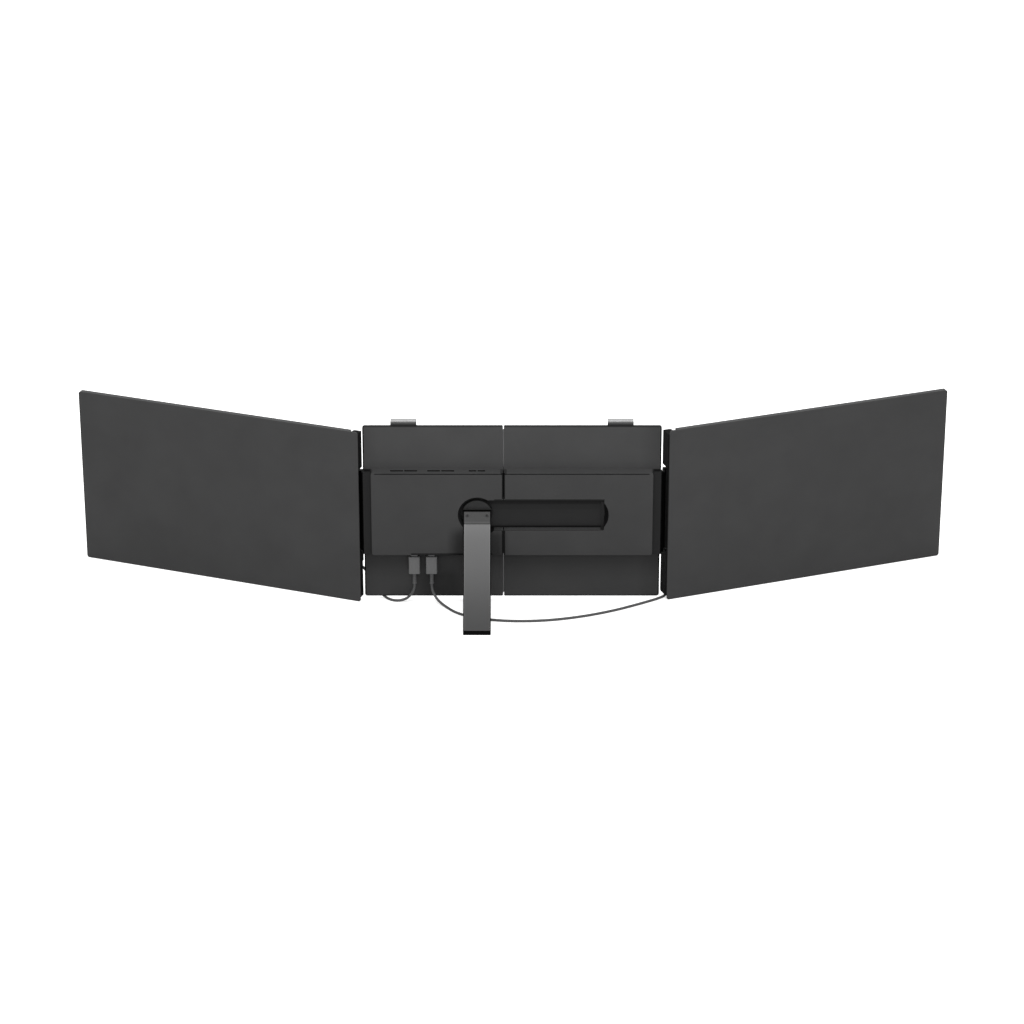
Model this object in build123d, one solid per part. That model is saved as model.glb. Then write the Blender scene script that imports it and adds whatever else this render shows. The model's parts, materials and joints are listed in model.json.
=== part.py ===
from build123d import *
import math
import os

# A laptop screen extender: two portable screens on hinges at the ends of a back
# plate that telescopes across a laptop's lid, with a fold-out stand behind it.
# Millimetres. +Z is up, +Y points at the person who reads the screens, and the
# back plate's front face, which lies on the lid, is y = 0 until the last step,
# which puts the origin on the table under the middle of the whole object.

# ---- back plate, in two halves that slide apart ----
PLATE_HALF = 158.6        # from the middle to each outer edge
PLATE_BOTTOM = 4.0        # above the table
PLATE_HEIGHT = 198.9
PLATE_THICK = 3.2
SKIN = 1.0                # front and rear skins
RIM = 1.2                 # wall round a half's outer edges
PLATE_CORNER = 2.6
SEAM_CORNER = 1.2
EDGE_ROUND = 0.5
SEAM_X = -9.1             # the parting line is left of the middle
SEAM_GAP = 1.0
SLIDE_TRAVEL = 50.0

# ---- raised band across the back of the plate ----
BAND_HALF = 150.0
BAND_BOTTOM = 57.7
BAND_HEIGHT = 95.8
BAND_DEPTH = 12.1         # stands this far behind the plate
BAND_WALL = 1.6
BAND_CORNER = 2.5
BAND_EDGE = 0.8
VENT_LENGTHS = (13.6, 13.6, 8.0)
VENT_CENTRES = (-115.1, -75.7, -37.2)
VENT_WIDTH = 3.0
VENT_RIB = 1.4
VENT_INSET = 5.0          # from the plate's back to the middle of a vent
VENT_LIP = 0.5            # the shelf is thinned to this round the vents
VENT_MARGIN = 1.2
SEAM_REBATE = 1.2         # the parting line is widened by this on each half
SEAM_REBATE_DEPTH = 1.0
LINE_DROP = 0.4           # groove under the band's top edge
LINE_WIDTH = 1.0
LINE_DEPTH = 1.2
LINE_END = 4.0
STRIP_LEFT = -20.0       # the strip behind the parting line, on the left half
STRIP_RIGHT = 50.0
STRIP_FIT = 0.2
STRIP_SHEET = 0.8

# ---- hinge arms and pins ----
ARM_WIDTH = 9.5           # outside the band
ARM_SETBACK = 3.4         # its back face lies in from the band's back
ARM_FRONT_GAP = 1.3       # between the plate's back and the part beyond the plate
TONGUE_LENGTH = 25.0      # inside the band
TONGUE_THICK = 4.8
TONGUE_INSET = 7.3        # in from the band's top and bottom
KNUCKLE_RADIUS = 3.6
KNUCKLE_INSET = 1.3       # in from the arm's top and bottom
WEB_THICK = {-1: 1.4, 1: 2.0}
WEB_BACK = 2.6            # the web's faces behind and before the pin's axis
WEB_FORE = 1.6
ARM_END_GAP = 0.2         # in from the plate's outer edge
ARM_LEDGE = 4.0           # of the arm, where the web joins it
ARM_POCKET_DEEP = 5.0     # in the arm's top
ARM_POCKET_WALL = 1.2
PIN_RADIUS = 1.5
PIN_GRIP = 11.5           # length held in the spine at each end
PIN_FLOOR = 0.5           # between the pin's end and the spine's hollow
BUSH_WALL = 0.8
BUSH_LENGTH = 22.0
RUNNING_FIT = 0.05        # radial, where a shaft turns
SEAT_FIT = 0.02           # radial, where a round piece is fixed
NOTCH_GAP = 1.0           # between a spine's notch and the arm, up and down

# ---- screen modules ----
SCREEN_WIDTH = 328.0      # from the spine's inner face to the outer edge
SCREEN_HEIGHT = 198.5
SCREEN_THICK = 6.0
SCREEN_CORNER = 3.0
COVER_SKIN = 1.2
COVER_WALL = 1.5
COVER_EDGE = 0.7
FRAME_THICK = 1.2
SPINE_WIDTH = 9.5
SPINE_WALL = 1.4
SPINE_STRIP = 1.2         # what is left of its depth beside the hinge arm
SPINE_RAISE = 5.0         # the spine starts above the cover's lower edge
SPINE_ROUND = 3.0         # its outer front corner
SPINE_INNER_ROUND = 0.8
SIDE_BORDER = 4.55        # beside the picture, which is a 14 inch 16:9 one
TOP_BORDER = 6.5
CHIN = 18.0               # under the picture
GLASS_MARGIN = 0.8
GLASS_THICK = 1.0
GLASS_GAP = 0.2
SWING = 20.4              # degrees that each screen stands forward of flat
# left, right: how far the pin's axis lies out from the spine's inner face and in
# front of the cover, the spine's depth, and the axis's place. The left screen
# folds first, the right over it.
AXIS_IN = {-1: 4.4, 1: 4.0}
AXIS_DEPTH = {-1: 7.9, 1: 9.15}
SPINE_DEPTH = {-1: 11.8, 1: 17.0}
SPINE_DROP = {-1: 2.5, 1: 5.0}         # the spine's top is lower than the cover's
COVER_START = {-1: 0.0, 1: 1.2}        # the cover's edge from the spine's inner face
SPINE_LOW_DEPTH = {-1: 9.6, 1: 17.0}   # below the left lead's grommet
AXIS_X = {-1: 164.85, 1: 166.7}
AXIS_Y = {-1: -1.4, 1: 3.85}
WEB_INNER = {-1: 158.7, 1: 160.2}

BUTTON_HEIGHT = 12.0
BUTTON_THICK = 2.0
BUTTON_PROUD = 0.6
BUTTON_Z = 150.0
BUTTON_GAP = 0.1
BUTTON_FLANGE = 1.5
BOARD_LENGTH = 160.0
BOARD_HEIGHT = 10.5
BOARD_THICK = 1.0

# ---- stand ----
HUB_X = -37.2
HUB_Z = 105.0
HUB_RADIUS = 16.4
HUB_THICK = 1.25
HUB_CAP_GAP = 1.2         # between the bracket and the hub's raised cap
HUB_CAP_SUNK = 0.4        # in from the band's back
DISH_RADIUS = 17.8
DISH_RIM = 20.7           # the dish opens out to this at the band's back
DISH_RIM_DEPTH = 2.4
SWEEP_DEPTH = 6.1         # relief in the rim that the turning leg passes through
SWEEP_INNER = 19.6
SWEEP_OUTER = 25.6
SLOT_HALF = 17.3
SLOT_DEPTH = 7.1
SLOT_END = 98.3           # straight rims end here, beyond is the finger scoop
SCOOP_REACH = 103.1
SCOOP_RADIUS = 22.8
SCOOP_SLOPE = 4.3         # how far the scoop's wall leans out
SCOOP_DEEP = 6.2
POCKET_END = 94.9
SKIRT = 1.2
TRAY_THICK = 1.0
TRAY_GAP = 0.2            # between the tray and what slides past it
TRAY_MARGIN = 1.9         # the tray is this much wider than the slot
TRAY_POST_RADIUS = 2.2
TRAY_POST_CIRCLE = 18.0
SHAFT_RADIUS = 5.0
BOLT_RADIUS = 2.0
WASHER_RADIUS = 8.5
WASHER_HEIGHT = 1.5
WASHER_THICK = 0.6
STAND_ANGLE = 38.5        # the leg stands out from the band's back by this
LEG_SWING_IN = 8.0        # degrees that it swings in from there, to the dish's rim
LEG_SWING_OUT = 10.0
LEG_WIDTH = 29.4
LEG_THICK = 6.5
LEG_DROP = 11.8           # from the hub's middle down to the leg's pin
LEG_EDGE = 0.7
BRACKET_TOP = 4.5         # above the hub's middle
BRACKET_CLEAR = 0.25      # round the leg's rounded top
BRACKET_PROUD = 0.9       # behind the band's back
FOOT_LENGTH = 4.8
KNUCKLE_HALF = 9.0
LEG_PIN_RADIUS = 1.0
LEG_KNUCKLE = 2.4
LEG_WEB = 2.6
LEG_CLEAR = 0.3           # round the leg where it lies in a notch or slot
BRACKET_SCREW_SPACING = 20.7

# ---- lid clips ----
CLIP_X = 115.0
CLIP_WIDTH = 27.5
CLIP_TOP = 4.9            # above the plate
CLIP_GAP = 0.3
LID_GAP = 5.2             # room for a lid between the plate and the lip
LIP_THICK = 1.6
LIP_DROP = 2.3            # the lip reaches this far below the plate's top
HOOK_BACK = 0.5           # in from the plate's back
HOOK_ROUND = 2.6
SHANK_WIDTH = 24.0
SHANK_THICK = 1.0
CLIP_TRAVEL = 30.0
TAIL_Z = 114.0
TAIL_WIDTH = 6.0
TAIL_HEIGHT = 3.0
TAIL_REACH = 5.4
RIB_WIDTH = 1.0
RIB_LENGTH = 43.0
SPRING_RADIUS = 1.7
SPRING_WIRE = 0.3
SPRING_TURNS = 16
SPRING_FOOT = 66.0
SPRING_LEG = 2.0

# ---- rails, guides and bridge between the halves ----
RAIL_Z = (71.0, 139.0)
RAIL_HEIGHT = 7.0
RAIL_THICK = 3.8
RAIL_GAP = 0.4            # between a rail and the plate
RAIL_FIT = 0.2
RAIL_LEFT = -58.0
RAIL_RIGHT = 88.0
RAIL_FOOT_END = -12.0
GUIDE_LEFT = 5.0
GUIDE_LENGTH = 70.0
GUIDE_WALL = 1.5
STOP_IN = 3.0
STOP_RADIUS = 1.0
BRIDGE_LEFT = -58.0
BRIDGE_RIGHT = 52.0
BRIDGE_INSET = 4.0
BRIDGE_THICK = 0.8

# ---- screws, board and sockets ----
SCREW_RADIUS = 1.0
SCREW_HEAD_RADIUS = 1.9
SCREW_HEAD = 0.8
SCREW_LENGTH = 9.0
BOSS_RADIUS = 2.4
SCREW_X = (135.0, 62.0)
SCREW_Z = (62.1, 149.1)
ARM_SCREW_X = 137.0
ARM_SCREW_Z = (85.0, 126.0)
PAD_X = (45.0, 146.0)
PAD_WIDTH = 9.0
PAD_PROUD = 0.35
PAD_INLET = 0.5
PAD_INSET = (16.0, 13.0)  # from the plate's bottom and top
MAIN_LEFT = -112.0
MAIN_RIGHT = -66.0
MAIN_BOTTOM = 59.5
MAIN_TOP = 120.0
POST_RADIUS = 1.8
POST_INSET = 4.0
SOCKET_WIDTH = 8.94
SOCKET_THICK = 3.26
SOCKET_LENGTH = 7.35
SOCKET_WALL = 0.3
SOCKET_RECESS = 0.6
SOCKET_CLEAR = 0.22
HOST_SOCKET_X = -71.5

# ---- leads to the screens ----
PLUG_X = {-1: -104.9, 1: -86.4}
PLUG_WIDTH = 12.0
PLUG_THICK = 6.5
PLUG_LENGTH = 20.0
PLUG_ROUND = 1.6
PLUG_SHOWING = 3.6        # metal between the band and the overmould
TIP_WIDTH = 8.25
TIP_THICK = 2.4
TIP_IN = 6.5
TONGUE_WIDTH = 6.6
CONTACT_THICK = 0.7
RELIEF_RADIUS = 2.0
RELIEF_LENGTH = 12.5
RELIEF_BEAD = 2.3
RELIEF_BEAD_LENGTH = 1.8
LEAD_RADIUS = 1.4
BEND_SHARE = 0.45
GROMMET_U = 6.0           # left grommet, out from the spine's inner face
GROMMET_RADIUS = 1.8
GROMMET_SUNK = 0.2        # its middle lies in from the spine's front
GROMMET_HEIGHT = 8.0
GROMMET_Z = 45.0
GROMMET_BORE = 1.7
GROMMET_NECK = 2.6
GROMMET_FLANGE = 3.4
GROMMET_FLANGE_THICK = 0.7

# ---- places worked out from the sizes above ----
PLATE_TOP = PLATE_BOTTOM + PLATE_HEIGHT
ACTIVE_WIDTH = SCREEN_WIDTH - SPINE_WIDTH - 2 * SIDE_BORDER
ACTIVE_HEIGHT = SCREEN_HEIGHT - CHIN - TOP_BORDER
PLATE_BACK = -PLATE_THICK
CAVITY_BACK = PLATE_BACK + SKIN
CAVITY_FRONT = -SKIN
BAND_TOP = BAND_BOTTOM + BAND_HEIGHT
BAND_BACK = PLATE_BACK - BAND_DEPTH
BAND_INNER = BAND_BACK + BAND_WALL
TRAY_FACE = BAND_BACK + SLOT_DEPTH
TRAY_BACKSIDE = TRAY_FACE + TRAY_THICK
ARM_BACK = BAND_BACK + ARM_SETBACK
ARM_FRONT = PLATE_BACK - ARM_FRONT_GAP
NOTCH_BOTTOM = BAND_BOTTOM - NOTCH_GAP
NOTCH_TOP = BAND_TOP + NOTCH_GAP
LEG_FACE = BAND_BACK - BRACKET_PROUD
PIN_Y = LEG_FACE + LEG_THICK / 2
PIN_Z = HUB_Z - LEG_DROP
PLUG_Y = (PLATE_BACK + BAND_BACK) / 2
BOARD_BACK = PLUG_Y + SOCKET_THICK / 2
SOCKET_MOUTH = BAND_BOTTOM + SOCKET_RECESS
PLUG_TOP = BAND_BOTTOM - PLUG_SHOWING
RELIEF_TOP = PLUG_TOP - PLUG_LENGTH
LEAD_TOP = RELIEF_TOP - RELIEF_LENGTH
TABLE_LEAD = LEAD_RADIUS + 0.1
GROMMET_OUT = GROMMET_U - AXIS_IN[-1]
GROMMET_V = SPINE_DEPTH[-1] - GROMMET_SUNK
GROMMET_FORE = GROMMET_V - AXIS_DEPTH[-1]
SIN_SWING = math.sin(math.radians(SWING))
COS_SWING = math.cos(math.radians(SWING))
LEAD_IN_X = -AXIS_X[-1] - GROMMET_OUT * COS_SWING + GROMMET_FORE * SIN_SWING
LEAD_IN_Y = AXIS_Y[-1] + GROMMET_OUT * SIN_SWING + GROMMET_FORE * COS_SWING

# The leads' routes: down out of the plugs, along the table, into the screens.
LEFT_LEAD = (
    (PLUG_X[-1], PLUG_Y, LEAD_TOP),
    (PLUG_X[-1], PLUG_Y, 16.2),
    (-108.2, -9.4, 9.2),
    (-114.0, -9.8, 3.4),
    (-122.6, -10.4, TABLE_LEAD),
    (-131.2, -8.0, TABLE_LEAD),
    (-138.4, 1.2, TABLE_LEAD + 0.1),
    (-144.6, 4.6, 7.6),
    (-152.2, 4.0, 22.2),
    (-159.0, 3.2, 34.0),
    (LEAD_IN_X, LEAD_IN_Y, GROMMET_Z - 5.4),
    (LEAD_IN_X, LEAD_IN_Y, GROMMET_Z),
)
RIGHT_LEAD = (
    (PLUG_X[1], PLUG_Y, LEAD_TOP),
    (PLUG_X[1], PLUG_Y, 15.8),
    (-84.0, -11.2, 9.4),
    (-79.4, -15.2, 3.8),
    (-71.6, -24.6, TABLE_LEAD),
    (-59.0, -41.6, TABLE_LEAD),
    (-36.0, -54.4, TABLE_LEAD),
    (-4.0, -60.6, TABLE_LEAD),
    (34.0, -59.6, TABLE_LEAD),
    (72.0, -50.4, TABLE_LEAD),
    (108.0, -35.4, TABLE_LEAD),
    (136.0, -18.8, TABLE_LEAD),
    (153.0, -8.0, TABLE_LEAD),
    (160.6, -2.2, TABLE_LEAD),
    (AXIS_X[1], AXIS_Y[1], TABLE_LEAD),
    (AXIS_X[1], AXIS_Y[1], TABLE_LEAD + 8.3),
)

NAMES = {-1: "left", 1: "right"}


def block(x0, x1, y0, y1, z0, z1):
    """A box between two corners, which may be given in either order."""
    low = (min(x0, x1), min(y0, y1), min(z0, z1))
    return Pos(*low) * Box(abs(x1 - x0), abs(y1 - y0), abs(z1 - z0), align=(Align.MIN,) * 3)


def rod_z(x, y, z0, z1, radius):
    """A cylinder that stands on z0."""
    return Pos(x, y, z0) * Cylinder(radius, z1 - z0, align=(Align.CENTER, Align.CENTER, Align.MIN))


def rod_y(x, z, y0, y1, radius):
    """A cylinder that runs along Y."""
    return Pos(x, (y0 + y1) / 2, z) * Rot(X=90) * Cylinder(radius, abs(y1 - y0))


def rod_x(y, z, x0, x1, radius):
    """A cylinder that runs along X."""
    return Pos((x0 + x1) / 2, y, z) * Rot(Y=90) * Cylinder(radius, abs(x1 - x0))


def slot_z(x, y, z0, z1, width, thick):
    """A bar with round ends in section, as a socket's mouth is."""
    return Pos(x, y, z0) * extrude(SlotOverall(width, thick), z1 - z0)


def edges_at(solid, axis, x=None, y=None, z=None):
    """The straight edges along an axis that lie at the given places."""
    found = solid.edges().filter_by(axis)
    for name, value in (("X", x), ("Y", y), ("Z", z)):
        if value is not None:
            found = [e for e in found if abs(getattr(e.center(), name) - value) < 0.01]
    return found


def seam_edge(side):
    """The x of a half's edge at the parting line."""
    return SEAM_X + side * SEAM_GAP / 2


def plate_slab(side, y0, y1):
    """One half of the plate's outline, with its corners rounded."""
    slab = block(seam_edge(side), side * PLATE_HALF, y0, y1, PLATE_BOTTOM, PLATE_TOP)
    slab = fillet(edges_at(slab, Axis.Y, x=side * PLATE_HALF), PLATE_CORNER)
    return fillet(edges_at(slab, Axis.Y, x=seam_edge(side)), SEAM_CORNER)


def screw_places(side):
    """The x, z of a half's cover screws, and then of its arm screws."""
    cover = [(side * x, z) for x in SCREW_X for z in SCREW_Z]
    arm = [(side * ARM_SCREW_X, z) for z in ARM_SCREW_Z]
    return cover, arm


def rear_shell(side):
    """The visible rear skin and rim of one half, open towards the seam."""
    shell = plate_slab(side, PLATE_BACK, CAVITY_FRONT)
    back_edges = shell.faces().sort_by(Axis.Y)[0].edges()
    shell = fillet(back_edges, EDGE_ROUND)
    shell -= block(
        seam_edge(side) - side,
        side * (PLATE_HALF - RIM),
        CAVITY_BACK,
        CAVITY_FRONT,
        PLATE_BOTTOM + RIM,
        PLATE_TOP - RIM,
    )
    clip = side * CLIP_X
    half = SHANK_WIDTH / 2 + CLIP_GAP
    shell -= block(clip - half, clip + half, CAVITY_BACK, CAVITY_FRONT, PLATE_TOP - 2 * RIM, PLATE_TOP)
    window = TAIL_WIDTH / 2 + 2 * CLIP_GAP
    window_top = TAIL_Z + TAIL_HEIGHT + CLIP_TRAVEL + 1
    shell -= block(clip - window, clip + window, PLATE_BACK, CAVITY_BACK, TAIL_Z - 0.5, window_top)
    rib_top = PLATE_TOP - RIM
    for edge in (-1, 1):
        inner = clip + edge * half
        outer = inner + edge * RIB_WIDTH
        shell += block(inner, outer, CAVITY_BACK, CAVITY_FRONT, rib_top - RIB_LENGTH, rib_top)
    shell += spring_anchor(clip)
    for x, z in sum(screw_places(side), []):
        shell -= rod_y(x, z, PLATE_BACK, CAVITY_BACK, SCREW_RADIUS + SEAT_FIT)
    if side < 0:
        for x, z in tray_posts():
            shell += rod_y(x, z, TRAY_BACKSIDE, PLATE_BACK, TRAY_POST_RADIUS)
        for x, z in board_posts():
            shell += rod_y(x, z, BOARD_BACK + BOARD_THICK, PLATE_BACK, POST_RADIUS)
    return shell


def spring_anchor(clip):
    """The post on the rear skin that holds the lower end of a clip's spring."""
    half = TAIL_WIDTH / 2
    reach = PLATE_BACK - TAIL_REACH + SHANK_THICK
    post = block(clip - half, clip + half, reach, PLATE_BACK, SPRING_FOOT, SPRING_FOOT + TAIL_HEIGHT)
    hole = rod_z(clip, spring_y(), SPRING_FOOT, SPRING_FOOT + TAIL_HEIGHT, SPRING_WIRE + SEAT_FIT)
    return post - hole


def spring_y():
    """The y of the clip springs' axes."""
    return PLATE_BACK - TAIL_REACH / 2 + 0.2


def tray_posts():
    """The x, z of the posts that carry the stand's tray, round the hub."""
    reach = TRAY_POST_CIRCLE / math.sqrt(2)
    return [(HUB_X + a * reach, HUB_Z + b * reach) for a in (-1, 1) for b in (-1, 1)]


def board_posts():
    """The x, z of the posts that carry the main board."""
    return [
        (x, z)
        for x in (MAIN_LEFT + POST_INSET, MAIN_RIGHT - POST_INSET)
        for z in (MAIN_BOTTOM + 3 * POST_INSET, MAIN_TOP - POST_INSET)
    ]


def pad_boxes(side, y0, y1, grow=0.0):
    """The strips of rubber that lie on the lid."""
    strips = []
    for x in PAD_X:
        middle = side * x
        half = PAD_WIDTH / 2 + grow
        low = PLATE_BOTTOM + PAD_INSET[0] - grow
        high = PLATE_TOP - PAD_INSET[1] + grow
        strips.append(block(middle - half, middle + half, y0, y1, low, high))
    return strips


def front_plate(side):
    """The front skin of one half, with sunk screw heads and inlets for the pads."""
    plate = plate_slab(side, CAVITY_FRONT, 0)
    for x, z in sum(screw_places(side), []):
        plate -= rod_y(x, z, CAVITY_FRONT, 0, SCREW_RADIUS + SEAT_FIT)
        plate -= rod_y(x, z, -SCREW_HEAD, 0, SCREW_HEAD_RADIUS + SEAT_FIT)
    for inlet in pad_boxes(side, -PAD_INLET, 0, SEAT_FIT):
        plate -= inlet
    return plate


def lid_pads(side):
    """Two strips of rubber per half."""
    return Compound(children=pad_boxes(side, -PAD_INLET, PAD_PROUD))


def screw(x, z, length):
    """A countersunk screw that goes in from the front."""
    head = rod_y(x, z, -SCREW_HEAD, 0, SCREW_HEAD_RADIUS)
    shank = rod_y(x, z, -length, -SCREW_HEAD, SCREW_RADIUS)
    recess = rod_y(x, z, -SCREW_HEAD / 2, 0, SCREW_RADIUS / 2)
    return head + shank - recess


def case_screws(side):
    """The screws that hold one half together."""
    cover, arm = screw_places(side)
    long_ones = [screw(x, z, SCREW_LENGTH) for x, z in cover]
    short_ones = [screw(x, z, PLATE_THICK + TONGUE_THICK - 1) for x, z in arm]
    return Compound(children=long_ones + short_ones)


def band_block(side):
    """The outside of one half's band, with its visible edges rounded."""
    solid = block(seam_edge(side), side * BAND_HALF, BAND_BACK, PLATE_BACK, BAND_BOTTOM, BAND_TOP)
    solid = fillet(edges_at(solid, Axis.Y, x=side * BAND_HALF), BAND_CORNER)
    solid = fillet(solid.faces().sort_by(Axis.Y)[0].edges(), BAND_EDGE)
    seam = seam_edge(side)
    rebate = BAND_BACK + SEAM_REBATE_DEPTH
    solid -= block(seam, seam + side * SEAM_REBATE, BAND_BACK, rebate, BAND_BOTTOM, BAND_TOP)
    line = BAND_TOP - LINE_DROP
    end = side * (BAND_HALF - LINE_END)
    return solid - block(seam, end, BAND_BACK, BAND_BACK + LINE_DEPTH, line - LINE_WIDTH, line)


def seam_strips():
    """Sheets on the left half that reach behind the right's skin and keep the seam closed."""
    back = BAND_INNER + STRIP_FIT
    front = back + STRIP_SHEET
    low = BAND_BOTTOM + BAND_WALL + STRIP_FIT
    high = BAND_TOP - BAND_WALL - STRIP_FIT
    reach = SLOT_HALF + TRAY_MARGIN + 2 * TRAY_GAP + SKIRT + STRIP_FIT
    lower = (low, HUB_Z - reach)
    upper = (HUB_Z + reach, high)
    seam = seam_edge(-1)
    strips = block(STRIP_LEFT, STRIP_RIGHT, back, front, *lower)
    strips += block(STRIP_LEFT, STRIP_RIGHT, back, front, *upper)
    strips += block(STRIP_LEFT, seam, BAND_INNER, back, *lower)
    strips += block(STRIP_LEFT, seam, BAND_INNER, back, *upper)
    inner = PLATE_BACK - STRIP_SHEET
    strips += block(STRIP_LEFT, STRIP_RIGHT, back, inner, low, low + STRIP_SHEET)
    return strips + block(STRIP_LEFT, STRIP_RIGHT, back, inner, high - STRIP_SHEET, high)


def slot_outline(side, y0, y1, grow):
    """The stand's slot, dish and scoop as one solid, grown outwards."""
    low = HUB_Z - SLOT_HALF - grow
    high = HUB_Z + SLOT_HALF + grow
    if side < 0:
        dish = rod_y(HUB_X, HUB_Z, y0, y1, DISH_RADIUS + grow)
        return dish + block(HUB_X, seam_edge(side), y0, y1, low, high)
    straight = block(seam_edge(side), SLOT_END + grow, y0, y1, low, high)
    scoop = rod_y(SCOOP_REACH - SCOOP_RADIUS, HUB_Z, y0, y1, SCOOP_RADIUS + grow)
    limit = block(SLOT_END - 1, SCOOP_REACH + grow, y0, y1, low, high)
    return straight + (scoop & limit)


def vent(centre, length, edge):
    """One slot of a pair, cut through the band's top shelf."""
    middle = PLATE_BACK - VENT_INSET
    start = centre + edge * VENT_RIB / 2
    half = VENT_WIDTH / 2
    end = start + edge * length
    slot = block(start, end, middle - half, middle + half, BAND_TOP - BAND_WALL, BAND_TOP)
    wide = half + VENT_MARGIN
    under = block(start, end, middle - wide, middle + wide, BAND_TOP - BAND_WALL, BAND_TOP - VENT_LIP)
    return slot + under


def band_cover(side):
    """One half's band: a shell with skirts round the stand's slot."""
    cover = band_block(side)
    cover -= block(
        seam_edge(side) - side,
        side * (BAND_HALF - BAND_WALL),
        BAND_INNER,
        PLATE_BACK,
        BAND_BOTTOM + BAND_WALL,
        BAND_TOP - BAND_WALL,
    )
    skirt_end = TRAY_FACE if side < 0 else TRAY_FACE - TRAY_GAP
    cover += slot_outline(side, BAND_INNER, skirt_end, SKIRT)
    if side > 0:
        cover += scoop_block()
    else:
        cover += notch_backing()
        cover += seam_strips()
    cover -= slot_cut(side)
    if side < 0:
        cover -= leg_notch()
        cover -= leg_sweep()
    for x, z in screw_places(side)[0]:
        cover += rod_y(x, z, BAND_INNER, PLATE_BACK, BOSS_RADIUS)
        cover -= rod_y(x, z, -SCREW_LENGTH, PLATE_BACK, SCREW_RADIUS + SEAT_FIT)
    cover -= tongue(side, BUTTON_GAP)
    if side < 0:
        for centre, length in zip(VENT_CENTRES, VENT_LENGTHS):
            cover -= vent(centre, length, -1)
            cover -= vent(centre, length, 1)
        for x in socket_places():
            wide = SOCKET_WIDTH + 2 * SOCKET_CLEAR
            thick = SOCKET_THICK + 2 * SOCKET_CLEAR
            cover -= slot_z(x, PLUG_Y, BAND_BOTTOM, BAND_BOTTOM + BAND_WALL, wide, thick)
    return cover


def scoop_block():
    """The solid under the finger scoop, between the pocket's end and the skirt."""
    return block(
        POCKET_END,
        SCOOP_REACH + SKIRT,
        BAND_INNER,
        TRAY_FACE,
        HUB_Z - SLOT_HALF - SKIRT,
        HUB_Z + SLOT_HALF + SKIRT,
    )


def notch_backing():
    """The solid round the dish, behind its sloping rim and the leg's notch."""
    ring = rod_y(HUB_X, HUB_Z, BAND_INNER, TRAY_FACE, SWEEP_OUTER + SKIRT)
    left = HUB_X - SWEEP_OUTER - SKIRT
    right = HUB_X + SWEEP_OUTER + SKIRT
    lower = block(left, right, BAND_INNER, TRAY_FACE, BAND_BOTTOM, HUB_Z - SLOT_HALF / 2)
    rim = rod_y(HUB_X, HUB_Z, BAND_INNER, BAND_BACK + DISH_RIM_DEPTH + SKIRT, DISH_RIM + SKIRT)
    return (ring & lower) + rim


def leg_notch():
    """The room that the leg takes in the dish's rim when it is swung furthest in."""
    half = LEG_WIDTH / 2 + LEG_CLEAR
    room = block(-half, half, -2 * LEG_THICK, LEG_THICK / 2 + LEG_CLEAR, -3 * LEG_THICK, 0)
    return Pos(HUB_X, PIN_Y, PIN_Z) * Rot(X=LEG_SWING_IN - STAND_ANGLE) * room


def round_cut(profile):
    """A solid turned about the hub's axis from points of radius and depth."""
    points = [(radius, BAND_BACK + depth) for radius, depth in profile]
    return Pos(HUB_X, 0, HUB_Z) * revolve(make_face(Polyline(*points, close=True)), Axis.Y)


def leg_sweep():
    """The relief under the open leg, which its corners pass through as the hub turns."""
    ring = round_cut(
        ((0, 0), (0, SWEEP_DEPTH), (SWEEP_INNER, SWEEP_DEPTH), (SWEEP_OUTER, 0)),
    )
    left = HUB_X - LEG_WIDTH / 2 - LEG_CLEAR
    right = HUB_X + SWEEP_OUTER
    return ring & block(left, right, BAND_BACK, TRAY_FACE, HUB_Z - SWEEP_OUTER, HUB_Z - SLOT_HALF / 2)


def slot_cut(side):
    """What the slot takes out of a cover: a dish and a channel, then a deep scoop."""
    if side < 0:
        rim = round_cut(((0, 0), (0, DISH_RIM_DEPTH), (DISH_RADIUS, DISH_RIM_DEPTH), (DISH_RIM, 0)))
        return slot_outline(side, BAND_BACK, TRAY_FACE, 0) + rim
    floor = BAND_BACK + SCOOP_DEEP
    low = HUB_Z - SLOT_HALF
    high = HUB_Z + SLOT_HALF
    pocket = block(seam_edge(side), POCKET_END, BAND_BACK, TRAY_FACE, low, high)
    pocket += block(POCKET_END, SLOT_END, BAND_BACK, floor, low, high)
    wall = Cone(SCOOP_RADIUS, SCOOP_RADIUS - SCOOP_SLOPE, SCOOP_DEEP)
    wall = Pos(SCOOP_REACH - SCOOP_RADIUS, (BAND_BACK + floor) / 2, HUB_Z) * Rot(X=-90) * wall
    return pocket + (wall & block(SLOT_END - 1, SCOOP_REACH, BAND_BACK, floor, low, high))


def slot_floor():
    """The right half's own floor, a channel that the tray slides in."""
    low = HUB_Z - SLOT_HALF - TRAY_MARGIN - 2 * TRAY_GAP
    high = HUB_Z + SLOT_HALF + TRAY_MARGIN + 2 * TRAY_GAP
    end = POCKET_END + SKIRT + 1
    back = TRAY_BACKSIDE + TRAY_GAP
    floor = block(seam_edge(1), end, back, back + TRAY_THICK, low - SKIRT, high + SKIRT)
    for edge, out in ((low, -SKIRT), (high, SKIRT)):
        floor += block(seam_edge(1), end, BAND_INNER, back, edge, edge + out)
    return floor


def stand_tray():
    """The slot's floor. It is fixed to the left half and reaches into the right."""
    half = SLOT_HALF + TRAY_MARGIN
    tray = block(HUB_X, POCKET_END - 0.3, TRAY_FACE, TRAY_BACKSIDE, HUB_Z - half, HUB_Z + half)
    tray += rod_y(HUB_X, HUB_Z, TRAY_FACE, TRAY_BACKSIDE, DISH_RIM + TRAY_MARGIN)
    return tray - rod_y(HUB_X, HUB_Z, TRAY_FACE, TRAY_BACKSIDE, SHAFT_RADIUS + RUNNING_FIT)


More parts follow.
